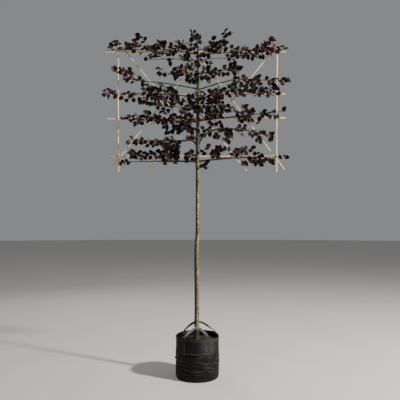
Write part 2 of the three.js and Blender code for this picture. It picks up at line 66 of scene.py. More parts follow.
# The trunk, as (height, radius, drift along X).
TRUNK = [
    (360.3, 31, 0), (385, 26.5, 0), (440, 24.2, 0), (1100, 21.5, -2), (1850, 19.2, 1), (2240, 19, 3),
    (2528, 16.8, 4), (2850, 14, 5), (3080, 9.5, 6), (3215, 6.5, 6),
]
# Marks on the trunk, as (height, bearing in degrees from +X towards +Y, rise, half width, half height).
TRUNK_MARKS = [
    (1242, 185, 4.5, 5, 7), (1472, 200, 1.8, 5, 6), (1845, -15, 2.6, 9, 38), (1890, 20, 2.2, 7, 10),
    (930, 40, 1.5, 7, 9), (690, -60, 1.4, 8, 10), (2010, 150, 2.0, 7, 9), (1610, -110, 1.5, 6, 8),
    (560, 230, 1.6, 8, 12),
]

# Dark stains on its bark, as (height, bearing, half width, half height).
TRUNK_STAINS = [(1875, -84, 10, 44), (1895, -45, 8, 24), (1475, 195, 6, 6), (1240, 186, 5, 6),
                (930, -40, 5, 9)]

# How full a tuft is, in leaves for each square decimetre of its room.
SPARSE, THIN, LIGHT, FAIR, FULL, DENSE, PACKED = 2, 3.7, 4.7, 6.1, 8, 11, 17
# The arms, as name: (side, height on the trunk, radius, bare share, path of (distance out, height),
# tufts of (from, to, low, high, how full)).
LEFT, RIGHT = -1, 1
ARMS = {
    "left_1": (LEFT, 2100, 9, 0.2, [(130, 2101), (765, 2095)],
               [(178, 353, 2077, 2240, DENSE), (353, 691, 2127, 2227, FULL), (678, 778, 2078, 2125, DENSE)]),
    "left_1_inner": (LEFT, 2160, 4, 0, [(110, 2180)], [(-20, 128, 2102, 2215, FAIR)]),
    "right_1": (RIGHT, 2100, 9, 0.13, [(250, 2125), (905, 2150)],
                [(120, 446, 2130, 2265, LIGHT), (446, 771, 2065, 2200, LIGHT), (400, 600, 2195, 2248, LIGHT),
                 (565, 665, 2082, 2132, FAIR), (784, 905, 2115, 2165, LIGHT), (430, 490, 2055, 2110, FULL)]),
    "right_1_inner": (RIGHT, 2190, 4, 0, [(110, 2225)], [(34, 130, 2150, 2265, THIN)]),
    "drop": (RIGHT, 2072, 3.5, 0, [(45, 2062), (86, 2035)], [(46, 112, 2027, 2085, PACKED)]),
    "left_2": (LEFT, 2262, 10, 0.21, [(50, 2306), (160, 2300), (680, 2310)],
               [(150, 403, 2190, 2327, FAIR), (560, 691, 2255, 2302, FULL), (505, 575, 2268, 2345, FULL),
                (618, 665, 2290, 2335, DENSE), (403, 485, 2262, 2318, FULL), (380, 560, 2232, 2285, FAIR)]),
    "left_2_fork": (LEFT, 2305, 7, 0.4, [(52, 2350), (90, 2440)],
                    [(16, 153, 2385, 2470, LIGHT), (-10, 115, 2310, 2400, LIGHT)]),
    "right_2": (RIGHT, 2262, 10, 0.14, [(60, 2350), (120, 2390), (250, 2420), (600, 2377), (746, 2318)],
                [(28, 118, 2325, 2440, FULL), (118, 346, 2285, 2477, LIGHT), (359, 596, 2327, 2465, THIN),
                 (584, 746, 2285, 2395, FULL), (255, 345, 2285, 2345, FULL)]),
    "left_3": (LEFT, 2490, 8.5, 0.12, [(300, 2497), (730, 2512)],
               [(-15, 328, 2360, 2565, FAIR), (105, 225, 2365, 2432, FAIR), (328, 453, 2480, 2545, PACKED),
                (453, 735, 2480, 2545, DENSE), (470, 560, 2545, 2602, THIN), (555, 630, 2425, 2485, FULL)]),
    "right_3": (RIGHT, 2500, 8.5, 0.09, [(300, 2530), (870, 2590)],
                [(70, 246, 2490, 2615, PACKED), (409, 559, 2480, 2627, DENSE), (600, 790, 2495, 2605, FAIR),
                 (709, 875, 2540, 2627, SPARSE)]),
    "left_mid": (LEFT, 2600, 6, 0, [(200, 2632), (370, 2640)],
                 [(-45, 378, 2545, 2715, LIGHT), (-60, 175, 2700, 2860, SPARSE),
                  (100, 225, 2660, 2735, LIGHT)]),
    "right_mid": (RIGHT, 2610, 6, 0, [(150, 2645), (300, 2655)],
                  [(35, 309, 2550, 2727, FAIR), (300, 400, 2585, 2650, FAIR), (-20, 70, 2560, 2800, SPARSE)]),
    "left_4": (LEFT, 2702, 8, 0.19, [(130, 2741), (930, 2765)],
               [(178, 503, 2690, 2840, FULL), (503, 790, 2650, 2796, THIN), (330, 590, 2600, 2692, THIN),
                (791, 935, 2715, 2802, FULL)]),
    "right_4": (RIGHT, 2695, 8, 0.13, [(180, 2765), (310, 2790), (800, 2765)],
                [(105, 246, 2675, 2815, FULL), (246, 496, 2715, 2865, FAIR), (534, 796, 2740, 2840, DENSE),
                 (380, 480, 2725, 2810, FAIR)]),
    "left_5": (LEFT, 2812, 6.5, 0.5, [(350, 2866), (630, 2900), (835, 2990)],
               [(528, 728, 2862, 2922, DENSE), (650, 845, 2960, 3030, FULL)]),
    "right_5": (RIGHT, 2800, 7, 0.36, [(220, 2865), (400, 2900), (925, 2872)],
                [(345, 620, 2840, 2952, FAIR), (620, 925, 2840, 2940, THIN)]),
    "left_6": (LEFT, 2945, 5.5, 0, [(200, 2960), (400, 2950)],
               [(-30, 403, 2892, 3062, LIGHT), (-40, 190, 3050, 3165, FAIR), (-20, 110, 2825, 2925, FAIR)]),
    "right_6": (RIGHT, 2960, 5.5, 0, [(200, 2985), (430, 3000)],
                [(25, 234, 2877, 3040, FAIR), (246, 434, 2952, 3040, DENSE)]),
    "left_7_low": (LEFT, 3085, 4.5, 0.35, [(250, 3100), (516, 3088)], [(203, 516, 3040, 3165, THIN)]),
    "right_7_low": (RIGHT, 3085, 4, 0, [(150, 3105), (380, 3100)],
                    [(71, 150, 3070, 3150, FAIR), (300, 384, 3065, 3140, FAIR)]),
    "left_7": (LEFT, 3150, 5.5, 0.07, [(300, 3190), (885, 3182)],
               [(-20, 303, 3155, 3278, LIGHT), (110, 215, 3225, 3300, FAIR), (255, 405, 3235, 3295, FAIR),
                (303, 528, 3155, 3250, FULL), (453, 640, 3285, 3335, LIGHT), (528, 703, 3155, 3275, FULL),
                (703, 878, 3165, 3290, THIN)]),
    "right_7": (RIGHT, 3145, 5.5, 0.1, [(300, 3165), (870, 3195)],
                [(-10, 100, 3125, 3255, LIGHT), (96, 246, 3150, 3265, FAIR), (246, 384, 3150, 3235, LIGHT),
                 (384, 659, 3090, 3215, FULL), (555, 665, 3125, 3225, FAIR), (659, 796, 3125, 3277, FULL),
                 (796, 871, 3170, 3230, DENSE)]),
    "right_7_rising": (RIGHT, 3190, 4, 0, [(150, 3235), (362, 3362)],
                       [(150, 300, 3190, 3322, LIGHT), (255, 365, 3290, 3360, FAIR)]),
}
LEADER = {"lean": -28, "top": 3335, "radius": 5.5,
          "tufts": [(-15, 75, 3295, 3365, DENSE), (-25, 45, 3215, 3295, SPARSE)]}
ARM_DEPTH = 14  # how far the arms are trained ahead of the trunk's middle
ARM_SETTLE = 200  # the distance out at which they are there
STEM_TIP = 2  # radius of an arm's tip
CROWN_DEPTH = 66  # half the crown's depth
STRAY = 8  # how far leaves may pass their tuft's room
FIRST_SEED = 11

# The cane frame. Rails are (left height, right height, left end, right end); the others are lines of
# (lower X, lower height, upper X, upper height).
RAILS = [(2154, 2154, -860, 858), (2523, 2533, -889, 867), (2752, 2767, -900, 867), (3178, 3178, -904, 867)]
POSTS = {"left": (-777, 2000, -777, 3225), "right": (775, 2000, 782, 3225)}
FALLING = [(22, 2288, -778, 3277), (484, 2015, -14, 2628), (859, 2027, -78, 3265)]
RISING = [(-860, 2034, 84, 3234), (-491, 2024, 2, 2641), (-4, 2288, 746, 3202)]
RAIL_RADIUS = 7
BRACE_RADIUS = 6
CANE_GAP = 0.3

# The bag's wall, as (height, radius), and its two webbing handles.
BAG_WALL = [(0, 202), (7, 207), (30, 211), (120, 213), (260, 211), (400, 209)]
COMPOST_TOP = 360
HANDLES = {
    "handle_front": dict(side=-1, left=38, right=31.5, lean=42, top=480, narrow=0.06, roll=0),
    "handle_back": dict(side=1, left=38, right=56, lean=48, top=522, narrow=0.12, roll=-34),
}
STRAP = {"width": 25, "thick": 3, "sewn": 150, "off": 0.5, "clear": 12}


# ---- Small helpers ---------------------------------------------------------------------------------


def read_table(table, key, column):
    """Reads a table of rows by its rising first column, with the other columns in between."""
    return float(np.interp(key, [row[0] for row in table], [row[column] for row in table]))


def trunk_radius(height):
    return read_table(TRUNK, height, 1)


def trunk_middle(height):
    return Vector((read_table(TRUNK, height, 2), 0, height))


def climb(values, low, high):
    """How far values have come from one bound to the other, from 0 to 1."""
    return np.clip((values - low) / (high - low), 0, 1)


def smooth_step(value, low, high):
    share = climb(value, low, high)
    return share * share * (3 - 2 * share)


def bell(off, power=2):
    """A bump of height 1 that dies away to either side of nothing."""
    return np.exp(-(off**power))


def turned(bearings, middle):
    """How far bearings are turned from another, within half a turn."""
    return (bearings - middle + math.pi) % (2 * math.pi) - math.pi


def unit(vectors):
    """A vector or rows of them, each made as long as 1."""
    return vectors / np.linalg.norm(vectors, axis=-1, keepdims=True)


def walked_lengths(line):
    """How far each point of a line is along it."""
    return np.concatenate([[0], np.cumsum(np.linalg.norm(np.diff(line, axis=0), axis=1))])


def seeded(seed):
    """Seeded numbers from 0 to 1, the same on every run."""
    mask = 0xFFFFFFFF
    state = seed

    def draw():
        nonlocal state
        state = (state + 0x6D2B79F5) & mask
        mixed = ((state ^ (state >> 15)) * (1 | state)) & mask
        stirred = (mixed + (((mixed ^ (mixed >> 7)) * (61 | mixed)) & mask)) & mask
        mixed = stirred ^ mixed
        return (mixed ^ (mixed >> 14)) / 4294967296

    return draw


def make_active(*pieces):
    """Leaves edit mode and selects these pieces alone, so that the next operator acts on nothing else."""
    if bpy.context.object and bpy.context.object.mode != "OBJECT":
        bpy.ops.object.mode_set(mode="OBJECT")
    bpy.ops.object.select_all(action="DESELECT")
    for piece in pieces[::-1]:
        piece.select_set(True)
        bpy.context.view_layer.objects.active = piece


@contextlib.contextmanager
def editing(piece, closed=True):
    """Opens a piece in edit mode with all of it selected, and turns a closed one's faces outwards."""
    make_active(piece)
    bpy.ops.object.mode_set(mode="EDIT")
    bpy.ops.mesh.select_all(action="SELECT")
    yield
    if closed:
        bpy.ops.mesh.select_all(action="SELECT")
        bpy.ops.mesh.normals_make_consistent(inside=False)
    bpy.ops.object.mode_set(mode="OBJECT")


def pick(chosen, kind="verts"):
    """Selects the parts of the mesh in edit mode that a test chooses, and nothing else."""
    mesh = bpy.context.edit_object.data
    bpy.ops.mesh.select_all(action="DESELECT")
    shape = bmesh.from_edit_mesh(mesh)
    for part in getattr(shape, kind):
        part.select_set(bool(chosen(part)))
    bmesh.update_edit_mesh(mesh, loop_triangles=False, destructive=False)


def start_disc(sides, radius, height=0):
    """Adds a disc round the Z axis, in millimetres, for a piece to be drawn up from."""
    make_active()
    bpy.ops.mesh.primitive_circle_add(vertices=sides, radius=radius * MM, fill_type="NGON",
                                      location=(0, 0, height * MM))
    disc = bpy.context.object
    settle(disc)
    return disc


def draw_out(rings, extrude=bpy.ops.mesh.extrude_region_move):
    """Draws the selected ring out through rings of (middle, radius), the first of them itself."""
    for (before, size), (middle, radius) in zip(rings, rings[1:]):
        extrude(TRANSFORM_OT_translate={"value": tuple((middle - before) * MM)})
        grow = radius / size
        bpy.ops.transform.resize(value=(grow, grow, 1), center_override=tuple(middle * MM))


def upright(rings):
    """Rings of (height, radius) as rings of (middle, radius) on the Z axis."""
    return [(np.array((0.0, 0.0, height)), radius) for height, radius in rings]


def points_of(mesh):
    flat = np.empty(len(mesh.vertices) * 3)
    mesh.vertices.foreach_get("co", flat)
    return flat.reshape(-1, 3)


def set_points(mesh, points):
    mesh.vertices.foreach_set("co", np.ascontiguousarray(points, dtype=np.float32).ravel())
    mesh.update()


def set_attribute(mesh, name, values):
    """Writes one vector or one number for each vertex, for materials to read."""
    values = np.asarray(values, dtype=np.float32)
    kind, label = ("FLOAT_VECTOR", "vector") if values.ndim == 2 else ("FLOAT", "value")
    mesh.attributes.new(name, kind, "POINT").data.foreach_set(label, values.ravel())


def mesh_piece(name, points, faces, **attributes):
    """Makes a piece of points, faces and values for each point."""
    mesh = bpy.data.meshes.new(name)
    mesh.from_pydata(np.asarray(points).tolist(), [], [tuple(face) for face in faces])
    for label, values in attributes.items():
        set_attribute(mesh, label, values)
    piece = bpy.data.objects.new(name, mesh)
    bpy.context.scene.collection.objects.link(piece)
    return piece


def take_shape(model):
    """A model's points and its faces' corners. The model itself is cleared away."""
    corners = np.array([tuple(face.vertices) for face in model.data.polygons])
    shape = points_of(model.data), corners
    bpy.data.objects.remove(model)
    return shape


def joined_piece(name, parts):
    """Makes one piece of many parts, each as (points, corners of its faces)."""
    starts = np.cumsum([0] + [len(points) for points, _ in parts])
    faces = np.concatenate([corners + start for (_, corners), start in zip(parts, starts)])
    return mesh_piece(name, np.concatenate([points for points, _ in parts]), faces.tolist())


def settle(piece):
    """Puts a piece's place into its mesh, so that its object sits at the origin."""
    make_active(piece)
    bpy.ops.object.transform_apply(location=True, rotation=True, scale=True)


def smooth(piece, degrees):
    make_active(piece)
    bpy.ops.object.shade_smooth_by_angle(angle=math.radians(degrees))


def finish_piece(piece, name, material, nodes=()):
    """Names a finished piece and puts it on its body, with its finish and the nodes it stands for."""
    piece.name = name
    piece.data.name = name
    piece.data.materials.clear()
    piece.data.materials.append(material)
    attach(piece, BODY)
    if nodes:
        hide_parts(*nodes)


def tube_faces(start, rings, sides):
    """The faces between a tube's rings of points, the first of them with this number."""
    return [(low + i, low + (i + 1) % sides, low + sides + (i + 1) % sides, low + sides + i)
            for low in range(start, start + (rings - 1) * sides, sides) for i in range(sides)]


class TubeBundle:
    """Many tapering tubes in one mesh, with each vertex's place along and round its own tube."""

    def __init__(self):
        self.points, self.faces, self.grain = [], [], []

    def add(self, line, radii, sides, start=0.0):
        """Adds one closed tube along a line of points, in metres."""
        line = np.asarray(line, dtype=float)
        ways = unit(np.gradient(line, axis=0))
        lengths = start + walked_lengths(line)
        side = np.cross(ways[0], (0, 1, 0) if abs(ways[0][1]) < 0.8 else (0, 0, 1))
        base, last = len(self.points), len(line) - 1
        self.faces += tube_faces(base, len(line), sides)
        for at, way, radius, length in zip(line, ways, radii, lengths):
            side = unit(side - way * side.dot(way))
            other = np.cross(way, side)
            for i in range(sides):
                angle = 2 * math.pi * i / sides
                around = side * math.cos(angle) + other * math.sin(angle)
                self.points.append(at + around * radius)
                self.grain.append((math.cos(angle) * radius, math.sin(angle) * radius, length))
        for ring, way, turn in ((0, -ways[0], -1), (last, ways[-1], 1)):
            low, end = base + ring * sides, len(self.points)
            self.points.append(line[ring] + way * radii[ring] * 0.5)
            self.grain.append((0, 0, lengths[ring]))
            self.faces += [(low + i, low + (i + 1) % sides, end)[::turn] for i in range(sides)]

    def piece(self, name):
        return mesh_piece(name, self.points, self.faces, grain=self.grain)


# ---- Shader building -------------------------------------------------------------------------------


class Value:
    """An output of a shader node. Arithmetic with it builds the Math nodes that work it out."""

    def __init__(self, tree, socket):
        self.tree, self.socket = tree, socket

    def maths(self, operation, *others):
        made = self.tree.nodes.new("ShaderNodeMath")
        made.operation = operation
        for socket, value in zip(made.inputs, (self, *others)):
            feed(self.tree, socket, value)
        return Value(self.tree, made.outputs[0])

    def __add__(self, other):
        return self.maths("ADD", other)

    def __sub__(self, other):
        return self.maths("SUBTRACT", other)

    def __mul__(self, other):
        return self.maths("MULTIPLY", other)

    def __abs__(self):
        return self.maths("ABSOLUTE")


def feed(tree, socket, value):
    """Links a node's value to a socket, or sets the socket to a number, a vector or a colour."""
    if isinstance(value, Value):
        tree.links.new(value.socket, socket)
    else:
        socket.default_value = (*value, 1.0) if socket.type == "RGBA" else value


def shade(colour, factor, lift=0.0):
    return tuple(min(1.0, part * factor + lift) for part in colour)


class Graph:
    """A shader node tree, and the kinds of node that the finishes are built from."""

    def __init__(self, tree):
        self.tree = tree

    def add(self, kind, output=0, options=(), **inputs):
        """Adds a node with its options and its inputs, and gives one of its outputs."""
        made = self.tree.nodes.new("ShaderNode" + kind)
        for option, value in dict(options).items():
            setattr(made, option, value)
        for label, value in inputs.items():
            feed(self.tree, made.inputs[label.replace("_", " ")], value)
        return Value(self.tree, made.outputs[output])

    def attribute(self, name, output="Fac"):
        return self.add("Attribute", output, {"attribute_name": name})

    def noise(self, vector, scale, detail, rough=0.5):
        return self.add("TexNoise", Vector=vector, Scale=scale, Detail=detail, Roughness=rough)

    def stretch(self, vector, scale):
        return self.add("Mapping", Vector=vector, Scale=scale)

    def split(self, vector):
        node = self.add("SeparateXYZ", Vector=vector).socket.node
        return [Value(self.tree, socket) for socket in node.outputs]

    def mix(self, share, low, high):
        made = self.tree.nodes.new("ShaderNodeMix")
        made.data_type = "RGBA"
        for index, value in ((0, share), (6, low), (7, high)):
            feed(self.tree, made.inputs[index], value)
        return Value(self.tree, made.outputs[2])

    def ramp(self, value, low, high, from_value=0.0, to_value=1.0):
        """A value stretched from one span to another and held inside it."""
        return self.add("MapRange", Value=value, From_Min=low, From_Max=high, To_Min=from_value,
                        To_Max=to_value)

    def use(self, group, **inputs):
        """Adds a shader node group, and gives its outputs by name."""
        made = self.tree.nodes.new("ShaderNodeGroup")
        made.node_tree = group()
        for label, value in inputs.items():
            feed(self.tree, made.inputs[label], value)
        return {socket.name: Value(self.tree, socket) for socket in made.outputs}


def shader_group(name, outputs, **inputs):
    """Makes a function into one that gives its shader node group, built when it is first asked for."""

    def wrap(build):
        @functools.wraps(build)
        def group():
            made = bpy.data.node_groups.get(name)
            if made:
                return made
            made = bpy.data.node_groups.new(name, "ShaderNodeTree")
            for label, default in inputs.items():
                kind = "Vector" if default is None else "Color" if isinstance(default, tuple) else "Float"
                socket = made.interface.new_socket(label, in_out="INPUT", socket_type="NodeSocket" + kind)
                if default is not None:
                    socket.default_value = default
            for label, kind in outputs.items():
                made.interface.new_socket(label, in_out="OUTPUT", socket_type="NodeSocket" + kind)
            sources = made.nodes.new("NodeGroupInput").outputs
            values = build(Graph(made), *(Value(made, sources[label]) for label in inputs))
            target = made.nodes.new("NodeGroupOutput").inputs
            for label, value in zip(outputs, values):
                feed(made, target[label], value)
            return made

        return group

    return wrap


@shader_group("Tone drift", {"Color": "Color", "Share": "Float"}, Vector=None, Scale=10.0,
              Low=(0, 0, 0, 1), High=(1, 1, 1, 1))
def drift(graph, vector, scale, low, high):
    """Colour that drifts between two tones in soft patches, with a finer mottle over them."""
    broad = graph.noise(vector, scale, 3.0)
    fine = graph.noise(vector, scale * 7.3, 2.0)
    share = graph.ramp(broad * 0.65 + fine * 0.35, 0.36, 0.64)
    return graph.mix(share, low, high), share


@shader_group("Broken patches", {"Mask": "Float"}, Vector=None, Scale=20.0, Rarity=0.6)
def patches(graph, vector, scale, rarity):
    """A mask of scattered patches with broken edges."""
    return [graph.ramp(graph.noise(vector, scale, 4.0, 0.65), rarity, rarity + 0.07)]


@shader_group("Grit", {"Height": "Float"}, Vector=None, Scale=100.0)
def grit(graph, vector, scale):
    """A height of fine grit, for cloth, soil and rough bark."""
    lumps = graph.add("TexVoronoi", Vector=vector, Scale=scale * 0.4)
    return [graph.noise(vector, scale, 5.0, 0.6) - lumps * 0.5]


@shader_group("Weave", {"Height": "Float", "Gaps": "Float"}, Across=0.0, Along=0.0)
def weave(graph, *counts):
    """Over and under threads across two counts of threads: a height, and a mask of the gaps between."""
    turns = [count * (2 * math.pi) for count in counts]
    over, other = [turn.maths("SINE") for turn in turns]
    gap, other_gap = [abs((turn * 0.5).maths("SINE")) for turn in turns]
    gaps = gap * other_gap
    return over * other * 0.3 + gaps, graph.ramp(gaps, 0.25, 0.0)


class Finish(Graph):
    """A material on one Principled shader."""

    def __init__(self, name):
        self.material = bpy.data.materials.new(name)
        self.material.use_nodes = True
        super().__init__(self.material.node_tree)
        self.tree.nodes.clear()
        shader = self.tree.nodes.new("ShaderNodeBsdfPrincipled")
        self.tree.links.new(shader.outputs[0], self.tree.nodes.new("ShaderNodeOutputMaterial").inputs[0])
        self.shader = shader.inputs

    def place(self):
        return self.add("TexCoord", "Object")

    def grain(self):
        return self.attribute("grain", "Vector")

    def tones(self, vector, scale, low, high):
        """A colour that drifts between two tones, with its share kept for the roughness."""
        tone = self.use(drift, Vector=vector, Scale=scale, Low=low, High=high)
        self.share = tone["Share"]
        return tone["Color"]

    def patches(self, vector, scale, rarity):
        return self.use(patches, Vector=vector, Scale=scale, Rarity=rarity)["Mask"]

    def grit(self, vector, scale):
        return self.use(grit, Vector=vector, Scale=scale)["Height"]

    def made(self, colour, rough, height=None, strength=0.0, depth=0.0, shine=0.5):
        """Feeds the shader its colour, its roughness at both ends of its drift, and its relief."""
        feed(self.tree, self.shader["Base Color"], colour)
        feed(self.tree, self.shader["Roughness"], self.ramp(self.share, 0, 1, *rough))
        self.shader["Specular IOR Level"].default_value = shine
        if height is not None:
            normal = self.add("Bump", Height=height, Strength=strength, Distance=depth)
            feed(self.tree, self.shader["Normal"], normal)
        return self.material


# ---- Settings --------------------------------------------------------------------------------------


def length_setting(name, description, default):
    return bpy.props.FloatProperty(name=name, description=description, default=default, min=0.0,
                                   unit="LENGTH", precision=4)


def share_setting(name, description, default):
    return bpy.props.FloatProperty(name=name, description=description, default=default, min=0.0,
                                   subtype="FACTOR", max=2.0)


def colour_setting(name, description, default):
    return bpy.props.FloatVectorProperty(name=name, description=description, default=default, size=3,
                                         subtype="COLOR", min=0.0, max=1.0)


class BarkSettings(bpy.types.PropertyGroup):
    relief: length_setting("Relief", "How far the bark stands up and sinks", 0.0011)
    light: colour_setting("Clean bark", "Smooth young bark of the trunk", (0.28, 0.236, 0.142))
    dark: colour_setting("Weathered bark", "Duller stretches of the trunk", (0.052, 0.045, 0.027))
    lichen: colour_setting("Algae", "Green-grey film on the trunk", (0.21, 0.225, 0.125))
    limb: colour_setting("Limb bark", "Bark of the trained limbs", (0.048, 0.037, 0.025))
    limb_dark: colour_setting("Limb shade", "Older bark of the limbs", (0.015, 0.012, 0.009))
    twig: colour_setting("Twig bark", "Young wood of the twigs", (0.045, 0.03, 0.018))


class FoliageSettings(bpy.types.PropertyGroup):
    leaf_length: length_setting("Leaf length", "Length of a full blade", 0.053)
    leaf_width: length_setting("Leaf width", "Width of a full blade", 0.044)
    fullness: share_setting("Fullness", "Leaves against the number that each tuft is given", 1.0)
    dark: colour_setting("Dark leaf", "Near-black maroon of most leaves", (0.0068, 0.0026, 0.0028))
    plum: colour_setting("Plum leaf", "Purple leaves with a pale sheen", (0.0125, 0.005, 0.0064))
    copper: colour_setting("Copper leaf", "Reddish leaves in full light", (0.0235, 0.0042, 0.004))
    olive: colour_setting("Shade leaf", "Green-brown leaves of the inner crown", (0.0105, 0.01, 0.0052))


class CaneSettings(bpy.types.PropertyGroup):
    joint_swell: share_setting("Joint swell", "How far a cane's joints stand out, of its radius", 0.16)
    straw: colour_setting("Straw", "Sunned cane", (0.86, 0.69, 0.44))
    tan: colour_setting("Tan", "Browner stretches of cane", (0.46, 0.31, 0.155))
    joint: colour_setting("Joint", "The dark line at a cane's joints", (0.13, 0.075, 0.035))
    tie: colour_setting("Tie", "Dark ties at the crossings", (0.018, 0.016, 0.014))


class BagSettings(bpy.types.PropertyGroup):
    wrinkle: length_setting("Wrinkle depth", "Depth of the creases in the lower wall", 0.0088)
    rim_dip: length_setting("Rim dip", "How far the rim sags between the handles", 0.009)
    cloth: colour_setting("Cloth", "Near-black cloth", (0.0052, 0.0046, 0.0042))
    # Paler cloth for scuffed places and for the painted highlights on the creases and the front-right
    # shoulder.
    worn_and_lit: colour_setting("Worn cloth", "Rubbed cloth", (0.07, 0.066, 0.062))
    strap: colour_setting("Webbing", "Middle of the handles' webbing", (0.045, 0.042, 0.043))
    strap_edge: colour_setting("Webbing edge", "Paler edges of the webbing", (0.42, 0.4, 0.41))
    thread: colour_setting("Thread", "Stitching", (0.07, 0.067, 0.064))


class CompostSettings(bpy.types.PropertyGroup):
    crumb: length_setting("Crumb", "Size of the larger crumbs", 0.009)
    soil: colour_setting("Soil", "Moist compost", (0.013, 0.0085, 0.006))
    bark: colour_setting("Chips", "Composted bark", (0.04, 0.023, 0.014))


class StudioSettings(bpy.types.PropertyGroup):
    floor: colour_setting("Floor", "Plain pale floor", (0.62, 0.6, 0.57))
    sky: colour_setting("Surround", "Plain light from all round", (0.8, 0.82, 0.85))


SETTINGS = {
    "beech_bark": BarkSettings,
    "beech_foliage": FoliageSettings,
    "beech_canes": CaneSettings,
    "beech_bag": BagSettings,
    "beech_compost": CompostSettings,
    "beech_studio": StudioSettings,
}


# ---- Materials -------------------------------------------------------------------------------------

# Near-black colour for the trunk's dark marks and for its painted shade.
STAIN_AND_SHADE = (0.018, 0.016, 0.011)
DUST = (0.03, 0.026, 0.024)
# Near-black painted shade in the gaps of the cloth's and the webbing's weave.
CLOTH_GAP_SHADE = (0.004, 0.004, 0.004)
STRAP_GAP_SHADE = (0.006, 0.006, 0.006)
PALE_GRAIN = (0.3, 0.26, 0.2)


def bark_material(name, light, dark, lichen, share):
    """Smooth beech bark: drifting tones, fine cross lines, dark marks and painted shade, and algae on a share
    of it.
    """
    finish = Finish(name)
    grain, place = finish.grain(), finish.place()
    tone = finish.tones(finish.stretch(grain, (1, 1, 0.35)), 26.0, dark, light)
    film = finish.patches(finish.stretch(place, (1, 1, 0.5)), 24.0, 0.66 - 0.16 * share)
    lines = finish.patches(finish.stretch(grain, (0.35, 0.35, 3.2)), 70.0, 0.6)
    blots = finish.patches(finish.stretch(place, (1, 1, 0.8)), 52.0, 0.485)
    colour = finish.mix(film * 0.75, tone, lichen)
    colour = finish.mix(blots * 0.88, colour, dark)
    colour = finish.mix(lines * 0.6, colour, dark)
    colour = finish.mix(finish.patches(place, 95.0, 0.575) * 0.8, colour, shade(light, 2.0))
    # The trunk's attribute darkens the bark towards that colour: real marks, and painted shade at the foot,
    # on the left side and among the arms.
    stained_and_shaded = finish.mix(finish.attribute("stain"), colour, finish.mix(0.86, colour, STAIN_AND_SHADE))
    height = finish.grit(finish.stretch(grain, (1, 1, 0.6)), 260.0) - lines * 0.8
    return finish.made(stained_and_shaded, (0.82, 0.64), height, 0.55, 0.0012, 0.25)


def leaf_material(name, colour, dull, shine):
    """A copper beech leaf: paler veins, a redder rim, soft mottling and a waxed surface."""
    finish = Finish(name)
    side, along, _ = finish.split(finish.add("UVMap", options={"uv_map": "blade"}))
    across = abs(side - 0.5)
    light = (min(1.0, colour[0] * 1.5 + 0.004), colour[1] * 1.35, colour[2] * 1.4)
    rim = (min(1.0, colour[0] * 2.4 + 0.012), colour[1] * 1.3, colour[2] * 1.2)
    tone = finish.tones(finish.place(), 30.0, shade(colour, 0.62), light)
    comb = abs(((along - across * 0.75) * 26.0).maths("SINE"))
    midrib = finish.ramp(across, 0.035, 0.012)
    veins = finish.ramp(comb, 0.22, 0.05, 0.0, 0.55).maths("MAXIMUM", midrib)
    veined = finish.mix(veins, tone, shade(colour, 1.9, 0.012))
    edged = finish.mix(finish.ramp(across, 0.33, 0.5, 0.0, 0.6), veined, rim)
    spots = finish.noise(finish.place(), 90.0, 2.0)
    finish.share = finish.ramp(spots, 0.3, 0.7)
    return finish.made(edged, (dull - 0.07, dull + 0.1), spots * 0.3 - veins, 0.45, 0.0008, shine)


def cane_material(settings):
    """Split-free bamboo: lengthwise fibre, sunned and brown stretches, dark lines at the joints."""
    finish = Finish("Dry bamboo")
    grain = finish.grain()
    tone = finish.tones(finish.stretch(grain, (1, 1, 0.22)), 22.0, settings.tan, settings.straw)
    fibre = finish.noise(finish.stretch(grain, (1, 1, 0.012)), 900.0, 2.0)
    streaked = finish.mix(finish.ramp(fibre, 0.35, 0.6, 0.25, 0.0), tone, settings.tan)
    mark = finish.attribute("joint_mark")
    marked = finish.mix(finish.ramp(mark, 0.45, 0.95), streaked, settings.joint)
    halo = finish.ramp(abs(mark - 0.25), 0.2, 0.0, 0.0, 0.35)
    colour = finish.mix(halo, marked, shade(settings.straw, 1.15))
    return finish.made(colour, (0.56, 0.4), fibre - mark * 0.6, 0.35, 0.0006)


def plain_material(name, tones, scale, rough, grit=None):
    """A finish of two drifting tones, with grit where it is given, as (scale, strength, depth)."""
    finish = Finish(name)
    place = finish.place()
    colour = finish.tones(place, scale, *tones)
    if grit is None:
        return finish.made(colour, rough)
    return finish.made(colour, rough, finish.grit(place, grit[0]), *grit[1:])


def bag_material(settings):
    """Woven black cloth: paler where it is scuffed at the hem, with painted highlights on the crease crests,
    along the main fold and on the front-right shoulder, painted shade in the gaps of the weave, and a little
    dust low down.
    """
    finish = Finish("Bag cloth")
    place = finish.place()
    x, y, z = finish.split(place)
    threads = finish.use(weave, Across=y.maths("ARCTAN2", x) * (640 / (2 * math.pi)), Along=z * 480.0)
    tone = finish.tones(finish.stretch(place, (1, 1, 2.2)), 9.0, settings.cloth, shade(settings.cloth, 1.7))
    broken = finish.ramp(finish.patches(place, 38.0, 0.43), 0, 1, 0.45, 1.0)
    # Paler cloth where the mask is set: scuffing at the hem, and painted highlights on the creases and the
    # front-right shoulder.
    sheen_and_wear = finish.mix(finish.attribute("wear") * 0.75 * broken, tone, settings.worn_and_lit)
    dust = finish.ramp(z, 0.12, 0.0, 0.0, 0.25) * finish.patches(place, 55.0, 0.5)
    # Painted shade in the gaps between the threads.
    shaded = finish.mix(threads["Gaps"] * 0.4, finish.mix(dust, sheen_and_wear, DUST), CLOTH_GAP_SHADE)
    return finish.made(shaded, (0.5, 0.66), threads["Height"], 0.35, 0.0006, 0.14)


